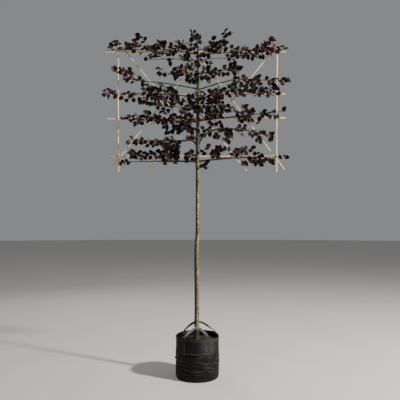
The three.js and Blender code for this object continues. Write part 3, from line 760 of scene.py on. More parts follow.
def strap_material(settings):
    """Webbing: herringbone ribs along the strap, and paler edges where it isn't sewn down."""
    finish = Finish("Handle webbing")
    across, _, along = finish.split(finish.grain())
    away, free = abs(across), finish.attribute("free")
    threads = finish.use(weave, Across=across * 560.0, Along=along * 420.0 + away * 420.0)
    tone = finish.tones(finish.place(), 60.0, settings.strap, shade(settings.strap, 1.9))
    sewn = finish.mix(free, settings.cloth, tone)
    edged = finish.mix(finish.ramp(away, 0.0075, 0.0095) * free, sewn, settings.strap_edge)
    # Painted shade in the gaps between the webbing's threads.
    shaded = finish.mix(threads["Gaps"] * 0.55, edged, STRAP_GAP_SHADE)
    return finish.made(shaded, (0.6, 0.75), threads["Height"], 0.5, 0.0007, 0.2)


def compost_material(name, settings, share):
    """Moist compost with flecks of bark and a few pale grains."""
    finish = Finish(name)
    place = finish.place()
    tone = finish.tones(place, 55.0, shade(settings.soil, 0.45), settings.soil)
    chipped = finish.mix(finish.patches(place, 75.0, 0.62 - 0.2 * share), tone, settings.bark)
    flecked = finish.mix(finish.patches(place, 210.0, 0.7), chipped, PALE_GRAIN)
    return finish.made(flecked, (0.95, 0.8), finish.grit(place, 330.0), 0.9, 0.003)


# ---- Trunk -----------------------------------------------------------------------------------------

TRUNK_SIDES = 28
TRUNK_STEP = 17  # millimetres between rings
FOOT_RINGS = (4, 9, 15, 24)  # the first rings' heights over the foot, closer for the root flare
# Spans of height over which the stem's painted shade (below the handles at its foot, and among the arms under
# the leaves), root flare and bends come in.
FOOT_SHADE, CROWN_SHADE = (480, 432), (2090, 2240)
FLARE, LOW_BEND = (470, 362), (1400, 1240)
SWAY, WAIST = ((420, 700), (2300, 1900)), ((1250, 1450), (2120, 1950))
SHADED = 203  # bearing of the side that is darkened: painted shade, with an algae film on it
STEM_SWAY, SWAY_WAVE = 3.2, 410  # how far the stem sways, and the length of a wave of it
LOW_LEAN = 7.5  # how far its lower part leans to the left
WAIST_SHIFT, WAIST_IN = 2.5, 2.2  # how far its middle part stands to the right and is drawn in


def bark_relief(point, way, relief):
    """How far smooth bark stands off at a place: soft swellings, fine ridges and thin cross rings."""
    x, y, z = point
    broad = noise.noise(Vector((x * 26, y * 26, z * 4.5)) + way)
    fine = noise.noise(Vector((x * 120, y * 120, z * 26)) + way)
    rings = noise.noise(Vector((x * 12, y * 12, z * 190)) + way)
    return relief * (1.1 * broad + 0.55 * fine + 0.35 * rings)


def trunk_mark_rise(height, bearing, radius):
    """Old knots and pruning scars: a swelling with a dimple in its middle."""
    rise = 0.0
    for mark_height, mark_bearing, lift, wide, high in TRUNK_MARKS:
        turn = turned(bearing, math.radians(mark_bearing))
        away = (turn * radius / wide) ** 2 + ((height - mark_height) / high) ** 2
        rise += lift * (math.exp(-away) - 0.45 * math.exp(-6 * away)) if away < 9 else 0
    return rise


def trunk_stain_and_shade(height, bearing, radius):
    """How dark the bark is: painted shade at its foot under the handles, painted shade with an algae film on
    its shaded side, painted shade among the arms, and the dark marks of TRUNK_STAINS.
    """
    # Painted shade on the left side, away from the key light, over a real algae film.
    side_shade_and_film = 0.92 * smooth_step(math.cos(bearing - math.radians(SHADED)), 0.2, 0.6)
    # The foot below the handles and the bark among the arms get painted shade.
    stain = max(side_shade_and_film, smooth_step(height, *FOOT_SHADE), 0.93 * smooth_step(height, *CROWN_SHADE))
    for middle, mark_bearing, wide, high in TRUNK_STAINS:
        turn = turned(bearing, math.radians(mark_bearing))
        stain = max(stain, 0.95 * bell(turn * radius / wide, 4) * bell((height - middle) / high, 4))
    return stain


def model_trunk(relief):
    """Draws the trunk up ring by ring, and then gives it its bends, root flare, scars and bark."""
    foot, top = TRUNK[0][0], TRUNK[-1][0]
    heights = [foot + rise for rise in FOOT_RINGS[:-1]]
    heights += [height for height in np.arange(foot + FOOT_RINGS[-1], top, TRUNK_STEP) if height < top - 4]
    trunk = start_disc(TRUNK_SIDES, trunk_radius(foot), foot)
    with editing(trunk):
        bpy.ops.mesh.flip_normals()
        draw_out([(trunk_middle(height), trunk_radius(height)) for height in (foot, *heights, top)])
    places = points_of(trunk.data)
    grain, stains_and_shade = np.empty_like(places), np.empty(len(places))
    way = Vector((3.1, 7.7, 1.3))
    for i, place in enumerate(places):
        height = place[2] / MM
        out = Vector((place[0] - trunk_middle(height).x * MM, place[1], 0))
        bearing, radius = math.atan2(out.y, out.x), out.length / MM
        grain[i] = (out.x, out.y, place[2])
        stains_and_shade[i] = trunk_stain_and_shade(height, bearing, radius)
        roots = smooth_step(height, *FLARE) * (0.9 * (1 + math.cos(3 * bearing + 0.6)) - 0.5)
        rise = bark_relief(place, way, relief) / MM + trunk_mark_rise(height, bearing, radius) + roots
        sway, waist = (math.prod(smooth_step(height, *span) for span in spans) for spans in (SWAY, WAIST))
        bend = (STEM_SWAY * math.sin(height / SWAY_WAVE) * sway - LOW_LEAN * smooth_step(height, *LOW_BEND)
                + WAIST_SHIFT * waist)
        flat = out.normalized() * (rise - WAIST_IN * waist) * smooth_step(height, foot - 1, foot + 6)
        places[i] = place + np.array((flat.x + bend, flat.y, 0)) * MM
    set_points(trunk.data, places)
    set_attribute(trunk.data, "grain", grain)
    set_attribute(trunk.data, "stain", stains_and_shade)
    smooth(trunk, 60)
    return trunk


# ---- Limbs -----------------------------------------------------------------------------------------

ARM_STEP = 14  # millimetres between an arm's points
LEADER_POINTS = 9
LIMB_ROOT = 0.55  # how deep inside the trunk a limb starts, of the trunk's radius
COLLAR, COLLAR_FADE = 0.75, 11  # how much thicker it is at the bark, and how far on that wears off
LIMB_SWAY, SWAY_SPAN = 2.2, (40, 160)  # how far it strays, and the span along it where that comes in
KNOT_RISE, KNOT_WAVE = 0.5, 9.5  # how far its rings of old bud scars stand out, and how close they are
THICK_LIMB, THICK_SIDES, THIN_SIDES = 6, 12, 9  # a limb thicker than the first has more sides


def arm_curve(side, height, path):
    """The line of an arm from the trunk's middle to its tip: a centripetal curve through its points."""
    points = [trunk_middle(height)]
    for out, z in path:
        points.append(Vector((side * out, -ARM_DEPTH * min(1, out / ARM_SETTLE), z)))
    line = []
    ends = [points[0] * 2 - points[1], *points, points[-1] * 2 - points[-2]]
    for a, b, c, d in zip(ends, ends[1:], ends[2:], ends[3:]):
        first, mid, last = [max((q - p).length, 1e-4) ** 0.5 for p, q in ((a, b), (b, c), (c, d))]
        leave = ((b - a) / first - (c - a) / (first + mid) + (c - b) / mid) * mid
        reach = ((c - b) / mid - (d - b) / (mid + last) + (d - c) / last) * mid
        steps = max(3, round((c - b).length / ARM_STEP))
        for i in range(steps):
            t = i / steps
            line.append(b + leave * t + (c * 3 - b * 3 - leave * 2 - reach) * t**2
                        + (b * 2 - c * 2 + leave + reach) * t**3)
    line.append(points[-1])
    return line


@functools.cache
def arm_lines():
    """Every arm's line and its radius at each point, in millimetres, and the leader's."""
    arms = {}
    for name, (side, height, radius, _, path, _) in ARMS.items():
        line = arm_curve(side, height, path)
        lengths = walked_lengths(line)
        arms[name] = (line, [radius + (STEM_TIP - radius) * share for share in lengths / lengths[-1]])
    top, drift = TRUNK[-1][0], TRUNK[-1][2]
    shares = np.linspace(0, 1, LEADER_POINTS)
    line = [Vector((drift + LEADER["lean"] * s, 0, top + (LEADER["top"] - top) * s)) for s in shares]
    arms["leader"] = (line, [LEADER["radius"] + (STEM_TIP - LEADER["radius"]) * s for s in shares])
    return arms


def limb_bundle():
    """Every trained limb as one tube from inside the trunk to its tip, with a collar where it leaves."""
    bundle = TubeBundle()
    for index, (name, (line, radii)) in enumerate(arm_lines().items()):
        way = Vector((index * 5.3, 1.7, index * 2.9))
        aside = way + Vector((9, 0, 0))
        edge = trunk_radius(line[0].z)
        flare, inside = (0, 0) if name == "leader" else (COLLAR, LIMB_ROOT * edge)
        shown, thick = [], []
        for point, radius, walked in zip(line, radii, walked_lengths(line)):
            if walked < inside:
                continue
            collar = 1 + flare * math.exp(-max(walked - edge, 0) / COLLAR_FADE)
            sway = Vector((0, noise.noise(point / 70 + way), noise.noise(point / 62 + aside)))
            shown.append((point + sway * (LIMB_SWAY * smooth_step(walked, *SWAY_SPAN))) * MM)
            knot = KNOT_RISE * max(0.0, math.sin(walked / KNOT_WAVE + index)) ** 6
            thick.append((radius * collar + knot) * MM)
        sides = THICK_SIDES if radii[0] > THICK_LIMB else THIN_SIDES
        bundle.add(shown, thick, sides, start=index * 2.0)
    return bundle


# ---- Growth ----------------------------------------------------------------------------------------

# Straying as the coarse crown has it: blades turn and tilt from the crown's plane and their tips droop.
STRAYING = {"turn": 0.55, "tilt": 0.5, "lift": 0.4, "angle": 0.35, "droop": 0.15, "drooping": 0.2}
FACING_MIDDLE = 15  # leaves this near to the crown's middle face either way
STEM_USED = (0.16, 0.985)  # the part of a stem that bears twigs, in shares of its reach
# A twig's radii, least length, lead along the stem, least distance from it, leafless foot, and the
# length from which it branches.
TWIG = {"root": 1.9, "tip": 0.8, "least": 38, "lead": 0.8, "from": 34, "foot": 9, "branch": 88}
# A finer twig from a long one: its share of the length, its way from it, its thinness and its leaves.
FORK = {"share": 0.4, "more": 0.15, "along": 0.62, "aside": 0.7, "deep": 0.5, "thin": 0.7, "leaves": 4}
# Places of a twig's leaves, back from its tip, and how far they turn from it, to either side in turn.
LEAF_PLACES = [(0, 0.2), (7, 0.65), (24, 0.8), (39, 0.9), (55, 0.95), (71, 1), (88, 1), (106, 1), (125, 1)]
TRIES = 9  # at one leaf
AIMS = 9  # for each leaf that a tuft wants
SPRAY = 5  # most leaves on one spray
CROWN_FORWARD = 20  # how far the leaves are ahead of the arms, towards the light
ROOM_BEHIND = 14  # room for leaves past the crown's depth at the back
EVEN = (0.618, 0.7549)  # steps that spread a tuft's twigs evenly
LEAF_GAP = 0.56  # least distance between two leaves' middles, of a leaf's length
GAP_DEPTH = 0.35  # how much of their distance in depth counts towards it
STALK = 8  # length of a leaf's stalk
BLADE_SIDE = 0.36  # how far out a blade is kept clear to either side, of its length
LEAF_CLEAR = 2.5  # least gap between leaves and wood or canes
TWIG_CLEAR = 2  # the same for twigs
ZIGZAG, BOW = 1.3, 0.06  # how far a twig strays from a straight line
# A twig's bud, as (distance past the twig's end, radius).
BUD = [(0, 0.7), (3, 1.5), (7, 1.1), (11, 0.2)]
TWIG_SIDES = 5
LEAF_SIZES = (0.86, 0.24)  # least, and how much more
OPENING_EDGE = 9  # how far a leaf's middle keeps off the crown's openings
# Places where the light or the shade turns the leaves, as (X, height, reach, kind).
TONES = [
    (-700, 2985, 190, "copper"), (790, 3240, 150, "copper"), (-560, 3110, 110, "copper"),
    (-150, 3260, 120, "copper"), (640, 2745, 110, "plum"), (830, 2570, 130, "plum"),
    (-880, 2760, 110, "plum"), (430, 2890, 170, "olive"), (-30, 2930, 170, "olive"),
    (-560, 2665, 90, "olive"), (60, 2890, 130, "olive"), (-300, 2770, 120, "olive"),
    (250, 2590, 120, "olive"), (-840, 3210, 80, "olive"), (-420, 2760, 150, "plum"),
    (420, 3160, 150, "plum"),
]
TURNED, TURNED_MORE = 0.35, 0.5  # share of the sprays turned at such a place's edge, and more inside it
# The kinds elsewhere, as (kind, share of the leaves that it and those before it take up).
KINDS = [("dark", 0.74), ("plum", 0.93), ("copper", 0.955), ("olive", 1)]
# Openings that the crown keeps, as (X, height, half width, half height).
OPENINGS = [
    # To the left of the trunk, from the lowest.
    (-535, 2212, 32, 16), (-130, 2215, 50, 28), (-470, 2220, 30, 16), (-590, 2240, 50, 15),
    (-85, 2270, 55, 40), (-455, 2312, 50, 16), (-135, 2365, 50, 30), (-265, 2425, 25, 22),
    (-45, 2455, 25, 25), (-55, 2590, 28, 30), (-470, 2620, 75, 28), (-190, 2620, 38, 40),
    (-680, 2670, 70, 24), (-120, 2805, 48, 34), (-190, 2860, 60, 42), (-320, 2910, 90, 38),
    (-670, 2932, 80, 16), (-350, 3035, 85, 42), (-200, 3050, 40, 24), (-115, 3070, 32, 15),
    (-30, 3105, 25, 30), (-180, 3155, 42, 22), (-510, 3160, 36, 20), (-745, 3205, 28, 16),
    (-465, 3245, 34, 18), (-550, 3265, 46, 24), (-660, 3283, 36, 18), (-125, 3290, 36, 34),
    (-240, 3295, 26, 22),
    # To the right of it.
    (280, 2140, 62, 15), (735, 2165, 36, 20), (512, 2175, 26, 22), (690, 2180, 72, 22),
    (255, 2185, 36, 20), (360, 2240, 44, 34), (130, 2305, 95, 30), (665, 2320, 35, 20),
    (390, 2340, 38, 40), (245, 2358, 55, 22), (530, 2445, 45, 30), (310, 2450, 50, 34),
    (670, 2500, 70, 14), (175, 2510, 30, 22), (595, 2600, 24, 22), (700, 2605, 26, 28),
    (300, 2680, 60, 32), (480, 2745, 28, 18), (55, 2800, 40, 30), (515, 2815, 22, 18),
    (690, 2815, 36, 20), (168, 2862, 52, 50), (800, 2910, 24, 20), (190, 3025, 45, 24),
    (415, 3085, 40, 14), (610, 3115, 45, 20), (300, 3205, 30, 14), (725, 3212, 42, 22),
    (70, 3215, 40, 20),
]


def cane_lines():
    """Every cane as (name, line of points, radius), in millimetres."""
    rail_z = [(rail[0] + rail[1]) / 2 for rail in RAILS]
    rail_y = [trunk_radius(z) + RAIL_RADIUS + CANE_GAP for z in rail_z]
    lean = (rail_y[-1] - rail_y[0]) / (rail_z[-1] - rail_z[0])
    canes = []
    for i, (left_z, right_z, left_x, right_x) in enumerate(RAILS):
        ends = [Vector((left_x, rail_y[i], left_z)), Vector((right_x, rail_y[i], right_z))]
        canes.append((f"rail_{i + 1}", ends, RAIL_RADIUS))

    def crossing(name, line, depth, radius):
        low_x, low_z, high_x, high_z = line
        heights = [low_z, *[z for z in rail_z if low_z + 1 < z < high_z - 1], high_z]
        points = []
        for z in heights:
            held = min(max(z, rail_z[0]), rail_z[-1])
            y = float(np.interp(held, rail_z, rail_y)) + lean * (z - held) + depth
            points.append(Vector((low_x + (high_x - low_x) * (z - low_z) / (high_z - low_z), y, z)))
        canes.append((name, points, radius))

    for side, line in POSTS.items():
        crossing(f"post_{side}", line, -(2 * RAIL_RADIUS + CANE_GAP), RAIL_RADIUS)
    first = RAIL_RADIUS + BRACE_RADIUS + CANE_GAP
    for i, line in enumerate(FALLING):
        crossing(f"falling_{i + 1}", line, first, BRACE_RADIUS)
    for i, line in enumerate(RISING):
        crossing(f"rising_{i + 1}", line, first + 2 * BRACE_RADIUS + CANE_GAP, BRACE_RADIUS)
    return canes


class Crown:
    """Twigs and leaves that grow on from the limbs, by the coarse crown's rule carried to finer twigs."""

    def __init__(self, leaf_length, fullness):
        self.leaf = leaf_length / MM
        self.fullness = fullness
        self.twigs = []  # (line of points, root radius)
        self.leaves = []  # (foot, along, normal, size, kind)
        self.middles = np.empty((0, 3))
        self.flatten = np.array((1, GAP_DEPTH, 1))
        openings = np.array(OPENINGS, dtype=float)
        self.opening_middles, self.opening_sizes = openings[:, :2], openings[:, 2:] + OPENING_EDGE
        lines = [(points, [radius] * len(points)) for _, points, radius in cane_lines()]
        lines.append(([trunk_middle(row[0]) for row in TRUNK], [row[1] for row in TRUNK]))
        runs = [run for points, radii in lines for run in zip(points, points[1:], radii)]
        self.starts, ends, self.radii = (np.array(values) for values in zip(*runs))
        self.ways = ends - self.starts
        self.squares = (self.ways**2).sum(1)

    def spread(self):
        return self.random() * 2 - 1

    def clearance(self, points):
        """The least gap between some points and the canes and trunk."""
        off = np.array(points)[:, None] - self.starts
        share = np.clip((off * self.ways).sum(2) / self.squares, 0, 1)
        return (np.linalg.norm(off - share[..., None] * self.ways, axis=2) - self.radii).min()

    def crowded(self, place, gap):
        """Whether another leaf is nearer than a gap, in leaf lengths, seen mostly from the front."""
        if not len(self.middles):
            return False
        off = (self.middles - place) * self.flatten
        return np.linalg.norm(off, axis=1).min() < gap * self.leaf

    def opening(self, place):
        """Whether a leaf's middle would stand in one of the crown's openings."""
        off = (np.array((place.x, place.z)) - self.opening_middles) / self.opening_sizes
        return (off**2).sum(1).min() < 1

    def stem_at(self, out):
        """The stem's middle at a distance out from the trunk, between its first and last twigs."""
        low, high = (self.outs[0] + (self.outs[-1] - self.outs[0]) * share for share in STEM_USED)
        out = min(max(out, low), high)
        return Vector([float(np.interp(out, self.outs, self.stem[:, axis])) for axis in range(3)])

    def facing(self, y):
        out = math.copysign(1, self.spread() if abs(y) < FACING_MIDDLE else y)
        lift = STRAYING["lift"] + STRAYING["tilt"] * self.spread()
        return Vector((STRAYING["turn"] * self.spread(), out, lift)).normalized()

    def grow_leaf(self, root, along, turn, room):
        """Grows one leaf where one of a few tries finds room."""
        for _ in range(TRIES):
            normal = self.facing(root.y)
            across = normal.cross(along).normalized()
            angle = turn + STRAYING["angle"] * self.spread()
            aim = along * math.cos(angle) + across * math.sin(angle)
            aim.z -= STRAYING["droop"] + STRAYING["drooping"] * self.spread()
            aim.normalize()
            size = LEAF_SIZES[0] + LEAF_SIZES[1] * self.random()
            blade = (normal - aim * normal.dot(aim)).normalized()
            length = self.leaf * size + STALK
            tip = root + aim * length
            middle = root + aim * (STALK + self.leaf * size / 2)
            if not all(low <= value <= high for low, value, high in zip(room[0], tip, room[1])):
                continue
            if self.crowded(middle, LEAF_GAP * size) or self.opening(middle):
                continue
            side = blade.cross(aim) * self.leaf * size * BLADE_SIDE
            if self.clearance([middle, tip, middle + side, middle - side, root.lerp(tip, 0.4)]) < LEAF_CLEAR:
                continue
            self.middles = np.vstack([self.middles, np.array(middle)])
            self.leaves.append((root.copy(), aim, blade, size, self.kind))
            return 1
        return 0

    def grow_spray(self, root, tip, radius, wanted, room):
        """Grows a twig with its leaves to either side, and where it is long a finer twig from it."""
        way = tip - root
        length = way.length
        along = way.normalized()
        if self.clearance([root.lerp(tip, share) for share in (0.3, 0.5, 0.7, 0.85, 1)]) < TWIG_CLEAR:
            return 0
        before = len(self.leaves)
        side = math.copysign(1, self.spread())
        across = along.cross(Vector((0, 1, 0))).normalized()
        bend = BOW * self.spread()
        places = [place for place in LEAF_PLACES if place[0] < length - TWIG["foot"]]
        line = [root]
        at = []
        for back, turn in reversed(places):
            share = 1 - back / length
            point = root.lerp(tip, share) + across * (side * ZIGZAG + bend * length * 4 * share * (1 - share))
            at.append((point, turn, side))
            line.append(point)
            side = -side
        for point, turn, side in reversed(at):
            if len(self.leaves) - before < wanted:
                self.grow_leaf(point, along, side * turn, room)
        if length > TWIG["branch"] and len(self.leaves) - before < wanted and at:
            fork, _, side = at[len(at) // 2]
            reach = (FORK["share"] + FORK["more"] * self.random()) * length
            deep = Vector((0, FORK["deep"] * self.spread(), 0))
            off = (along * FORK["along"] + across * side * FORK["aside"] + deep).normalized()
            left = min(wanted - (len(self.leaves) - before), FORK["leaves"])
            self.grow_spray(fork, fork + off * reach, radius * FORK["thin"], left, room)
        if len(self.leaves) > before:
            self.twigs.append((line, radius))
        return len(self.leaves) - before

    def grow_towards(self, aim, wanted, room):
        out = self.side * aim.x
        near = self.stem_at(out)
        if (aim - near).length < TWIG["from"]:
            foot = self.stem_at(out - self.leaf / 3)
            return self.grow_leaf(foot, (aim - foot).normalized(), 0, room)
        root = self.stem_at(out - TWIG["lead"] * abs(aim.z - near.z) - TWIG["least"])
        way = aim - root
        length = max(TWIG["least"], way.length - self.leaf / 2)
        return self.grow_spray(root, root + way.normalized() * length, TWIG["root"], wanted, room)

    def fill_tuft(self, tuft):
        """Fills a tuft with leaves, its twigs' aims spread evenly over it."""
        start, end, low, high, full = tuft
        left, right = sorted((self.side * start, self.side * end))
        room = ((left - STRAY, -CROWN_DEPTH - 2 * CROWN_FORWARD, low - STRAY),
                (right + STRAY, CROWN_DEPTH + ROOM_BEHIND, high + STRAY))
        starts = (self.random(), self.random())
        wanted = round(full * (end - start) * (high - low) / DECIMETRE**2 * self.fullness)
        grown = 0
        for attempt in range(1, AIMS * wanted):
            if grown >= wanted:
                break
            shares = [(begin + attempt * even) % 1 for begin, even in zip(starts, EVEN)]
            aim = Vector((left + (right - left) * shares[0], CROWN_DEPTH * self.spread() - CROWN_FORWARD,
                          low + (high - low) * shares[1]))
            if self.crowded(aim, LEAF_GAP):
                continue
            self.kind = self.kind_at(aim)
            grown += self.grow_towards(aim, min(wanted - grown, SPRAY), room)

    def kind_at(self, aim):
        """The colour of a spray: dark, or as its place in the light or the shade turns it."""
        draw = self.random()
        for x, z, reach, kind in TONES:
            near = 1 - math.hypot(aim.x - x, aim.z - z) / reach
            if near > 0 and draw < TURNED + TURNED_MORE * near:
                return kind
        return next(kind for kind, most in KINDS if draw < most)

    def grow(self):
        for i, (name, (line, _)) in enumerate(arm_lines().items()):
            self.random = seeded(FIRST_SEED + i)
            self.side, _, _, bare, _, tufts = ARMS.get(name, (LEFT, 0, 0, 0, [], LEADER["tufts"]))
            self.stem = np.array(line)[round(bare * (len(line) - 1)):]
            self.outs = self.side * self.stem[:, 0]
            for tuft in tufts:
                self.fill_tuft(tuft)
        return self


@functools.cache
def grown_crown(leaf_length, fullness):
    return Crown(leaf_length, fullness).grow()


def crown():
    foliage = bpy.context.scene.beech_foliage
    return grown_crown(foliage.leaf_length, foliage.fullness)


# ---- Leaves ----------------------------------------------------------------------------------------

# A leaf's rings from its stalk to its tip, as (share of the blade's length, share of its half width).
LEAF_RINGS = [(0.0, 0.05), (0.14, 0.72), (0.36, 1.0), (0.6, 0.93), (0.81, 0.6), (0.94, 0.22)]
LEAF_THICK = 0.0007
# Leaf shapes, as (fold along the midrib, droop of the tip, waviness, sideways sweep).
LEAF_SHAPES = [(0.34, 0.10, 0.05, 0.03), (0.2, 0.02, 0.07, -0.04), (0.5, 0.16, 0.04, 0.0),
               (0.1, 0.2, 0.08, 0.05)]
CLEAR = 100  # a leaf's rings are set this far up, out of the way of those that aren't set yet
HALF_WAY = math.sqrt(0.5)
# Each kind's roughness and shine.
WAX = {"dark": (0.5, 0.1), "plum": (0.4, 0.3), "copper": (0.5, 0.14), "olive": (0.46, 0.14)}


def move(chosen, shift):
    pick(chosen)
    bpy.ops.transform.translate(value=shift)


def model_leaf(shape, length, width):
    """Models one leaf with its foot at the origin, its blade along +Z and its upper side towards +Y."""
    fold, droop, wave, sweep = shape
    rings, foot = len(LEAF_RINGS), CLEAR + STALK * MM
    make_active()
    bpy.ops.mesh.primitive_uv_sphere_add(segments=8, ring_count=rings + 1, radius=1)
    leaf = bpy.context.object
    with editing(leaf):
        move(lambda v: v.co.z > 0.999, (0, -droop * length, foot + length - 1))
        for k in range(rings - 1, -1, -1):
            share, half = LEAF_RINGS[k]
            angle = math.pi * (rings - k) / (rings + 1)
            z, reach = math.cos(angle), math.sin(angle)
            half_width = half * width / 2
            thick = LEAF_THICK * (0.5 if 0 < k < rings - 1 else 0.35)
            target, swept = foot + length * share, sweep * length * share**2
            pick(lambda v, z=z: abs(v.co.z - z) < 0.01)
            bpy.ops.transform.resize(value=(half_width / reach, thick / reach, 1), center_override=(0, 0, z))
            bpy.ops.transform.translate(value=(swept, -droop * length * share**2, target - z))
            edge = half_width * (fold + (wave if k % 2 else -wave))
            for spread, lift in ((1, edge), (HALF_WAY, half_width * fold * 0.62)):
                move(lambda v: abs(v.co.z - target) < 1e-5
                     and abs(abs(v.co.x - swept) - spread * half_width) < 0.02 * half_width, (0, lift, 0))
        move(lambda v: v.co.z < -0.999, (0, 0, CLEAR + 1))
        move(lambda v: True, (0, 0, -CLEAR))
        bpy.ops.mesh.select_all(action="SELECT")
        bpy.ops.mesh.quads_convert_to_tris()
    return leaf


def scatter_leaves(name, shapes, placed, length, width):
    """Joins a copy of a leaf shape at every placed leaf into one piece, each with its own blade map."""
    parts, maps = [], []
    for i, (foot, along, normal, size, _) in enumerate(placed):
        shape, corners = shapes[(i * 7 + int(foot.x)) % len(shapes)]
        axes = np.array([normal.cross(along), normal, along]) * size
        parts.append((shape @ axes + np.array(foot) * MM, corners))
        maps.append(np.column_stack([shape[:, 0] / width + 0.5, (shape[:, 2] - STALK * MM) / length]))
    piece = joined_piece(name, parts)
    corner_points = np.empty(len(piece.data.loops), dtype=np.int32)
    piece.data.loops.foreach_get("vertex_index", corner_points)
    blade = piece.data.uv_layers.new(name="blade")
    blade.data.foreach_set("uv", np.concatenate(maps)[corner_points].astype(np.float32).ravel())
    smooth(piece, 50)
    return piece


# ---- Canes and ties --------------------------------------------------------------------------------

CANE_SIDES = 14
CANE_STOCK = 2900  # length of the cane that the others are cut from
CANE_WALL = 2.6
CANE_HOLLOW = 12  # how deep a cut end is open
# Where a cane is cut from the stock, so that no two have their joints at the same places.
FIRST_CUT, CUT_STEP, CUT_SPAN = 30, 137, 820
CROOK, CROOK_WAVE = 2.4, 260  # how far a cane strays from straight, and over what length
FIRST_JOINT, LAST_JOINT = 60.0, 40  # distances from the stock's foot, and least from its top
JOINT_GAP = 96  # the mean length between two joints
# A joint's rings, as (distance from it, radius share that the swell scales, dark mark).
JOINT = [(-15, 0, 0.0), (-4, 0.25, 0.25), (-0.9, 1, 0.5), (0.2, -0.1, 1.0), (1.6, 0.7, 0.5), (6, 0.1, 0.25),
         (18, 0, 0.0)]
TIE_REACH = 4  # most room between two canes that are tied
LEAST_CLIMB = 100  # a cane that rises less from end to end is a rail
LEAST_CROSS = 1e3  # canes whose lines span less than this, in square millimetres, run side by side
CANE_TIP = 0.005  # share of a cane at either end where no tie holds
# A tie's loops, its knot and its two tails, in metres, and the loops' cord as a share of their size.
TIE_LOOP, TIE_CORD = (0.0118, 0.0152, 0.012), 0.1
KNOT, KNOT_DEPTH = 0.0032, -0.0158
TAIL = {"vertices": 6, "radius": 0.0011, "depth": 0.013, "end_fill_type": "NGON"}


def cane_joints():
    """Places of the stock cane's joints, never quite evenly spaced."""
    places, at = [], FIRST_JOINT
    while at < CANE_STOCK - LAST_JOINT:
        places.append(at)
        at += JOINT_GAP + 26 * math.sin(at / 190) + 14 * math.sin(at * 1.7)
    return places


def model_stock_cane(swell):
    """Models one long cane up the Z axis, ring by ring, with a swelling at every joint."""
    rings = [(place + off, 1 + swell * share, mark) for place in cane_joints() for off, share, mark in JOINT]
    places, sizes, marks = zip((0, 1, 0), *rings, (CANE_STOCK, 1, 0))
    cane = start_disc(CANE_SIDES, RAIL_RADIUS)
    with editing(cane):
        draw_out(upright(zip(places, sizes)))
    set_attribute(cane.data, "joint_mark", np.interp(points_of(cane.data)[:, 2] / MM, places, marks))
    return cane


def cut_cane(stock, points, radius, number):
    """Cuts a cane from the stock, hollows its ends, and lays it along its line."""
    line = np.array(points)
    lengths = walked_lengths(line)
    start = FIRST_CUT + (number * CUT_STEP) % CUT_SPAN
    cane = stock.copy()
    cane.data = stock.data.copy()
    bpy.context.scene.collection.objects.link(cane)
    with editing(cane):
        for level, way in ((start * MM, -1), ((start + lengths[-1]) * MM, 1)):
            bpy.ops.mesh.select_all(action="SELECT")
            bpy.ops.mesh.bisect(plane_co=(0, 0, level), plane_no=(0, 0, way), use_fill=True, clear_outer=True)
            pick(lambda face: abs(face.calc_center_median().z - level) < 1e-5 and face.normal.z * way > 0.9,
                 "faces")
            bpy.ops.mesh.inset(thickness=CANE_WALL * MM)
            hollow = (0, 0, -way * CANE_HOLLOW * MM)
            bpy.ops.mesh.extrude_region_move(TRANSFORM_OT_translate={"value": hollow})
    stocked = points_of(cane.data)
    thick = radius / RAIL_RADIUS
    set_attribute(cane.data, "grain", stocked * (thick, thick, 1) + (0, 0, number * 3.0))
    along = unit(line[-1] - line[0])
    side = unit(np.cross((0, 1, 0), along))
    walked = stocked[:, 2] / MM - start
    middle = np.column_stack([np.interp(walked, lengths, places) for places in line.T])
    crook = np.array([noise.noise(Vector((w / CROOK_WAVE, number * 3.1, 0))) for w in walked]) * CROOK
    x, y = stocked[:, :2].T * thick / MM
    placed = middle + np.outer(x + crook, side) + np.outer(y, np.cross(along, side))
    set_points(cane.data, placed * MM)
    smooth(cane, 35)
    return cane


def depth_at(line, z):
    """How far back a cane is at a height. A rail is as far back all along."""
    climbs = line[-1][2] - line[0][2] > LEAST_CLIMB
    return float(np.interp(z, line[:, 2], line[:, 1])) if climbs else line[0][1]


def crossings():
    """Places where two canes cross and touch, as (middle, reach in depth)."""
    canes = [(name[:4], np.array(points), radius) for name, points, radius in cane_lines()]
    found = []
    for (kind, line, radius), (other_kind, other, other_radius) in itertools.combinations(canes, 2):
        way, other_way = line[-1] - line[0], other[-1] - other[0]
        ways = np.column_stack([way, -other_way])[[0, 2]]
        untied = kind == other_kind or {kind, other_kind} == {"fall", "post"}
        if untied or abs(np.linalg.det(ways)) < LEAST_CROSS:
            continue
        shares = np.linalg.solve(ways, (other[0] - line[0])[[0, 2]])
        x, _, z = line[0] + way * shares[0]
        y, other_y = depth_at(line, z), depth_at(other, z)
        reach = radius + other_radius
        held = all(CANE_TIP < share < 1 - CANE_TIP for share in shares)
        if held and abs(y - other_y) < reach + TIE_REACH:
            found.append(((x, (y + other_y) / 2, z), reach))
    return found


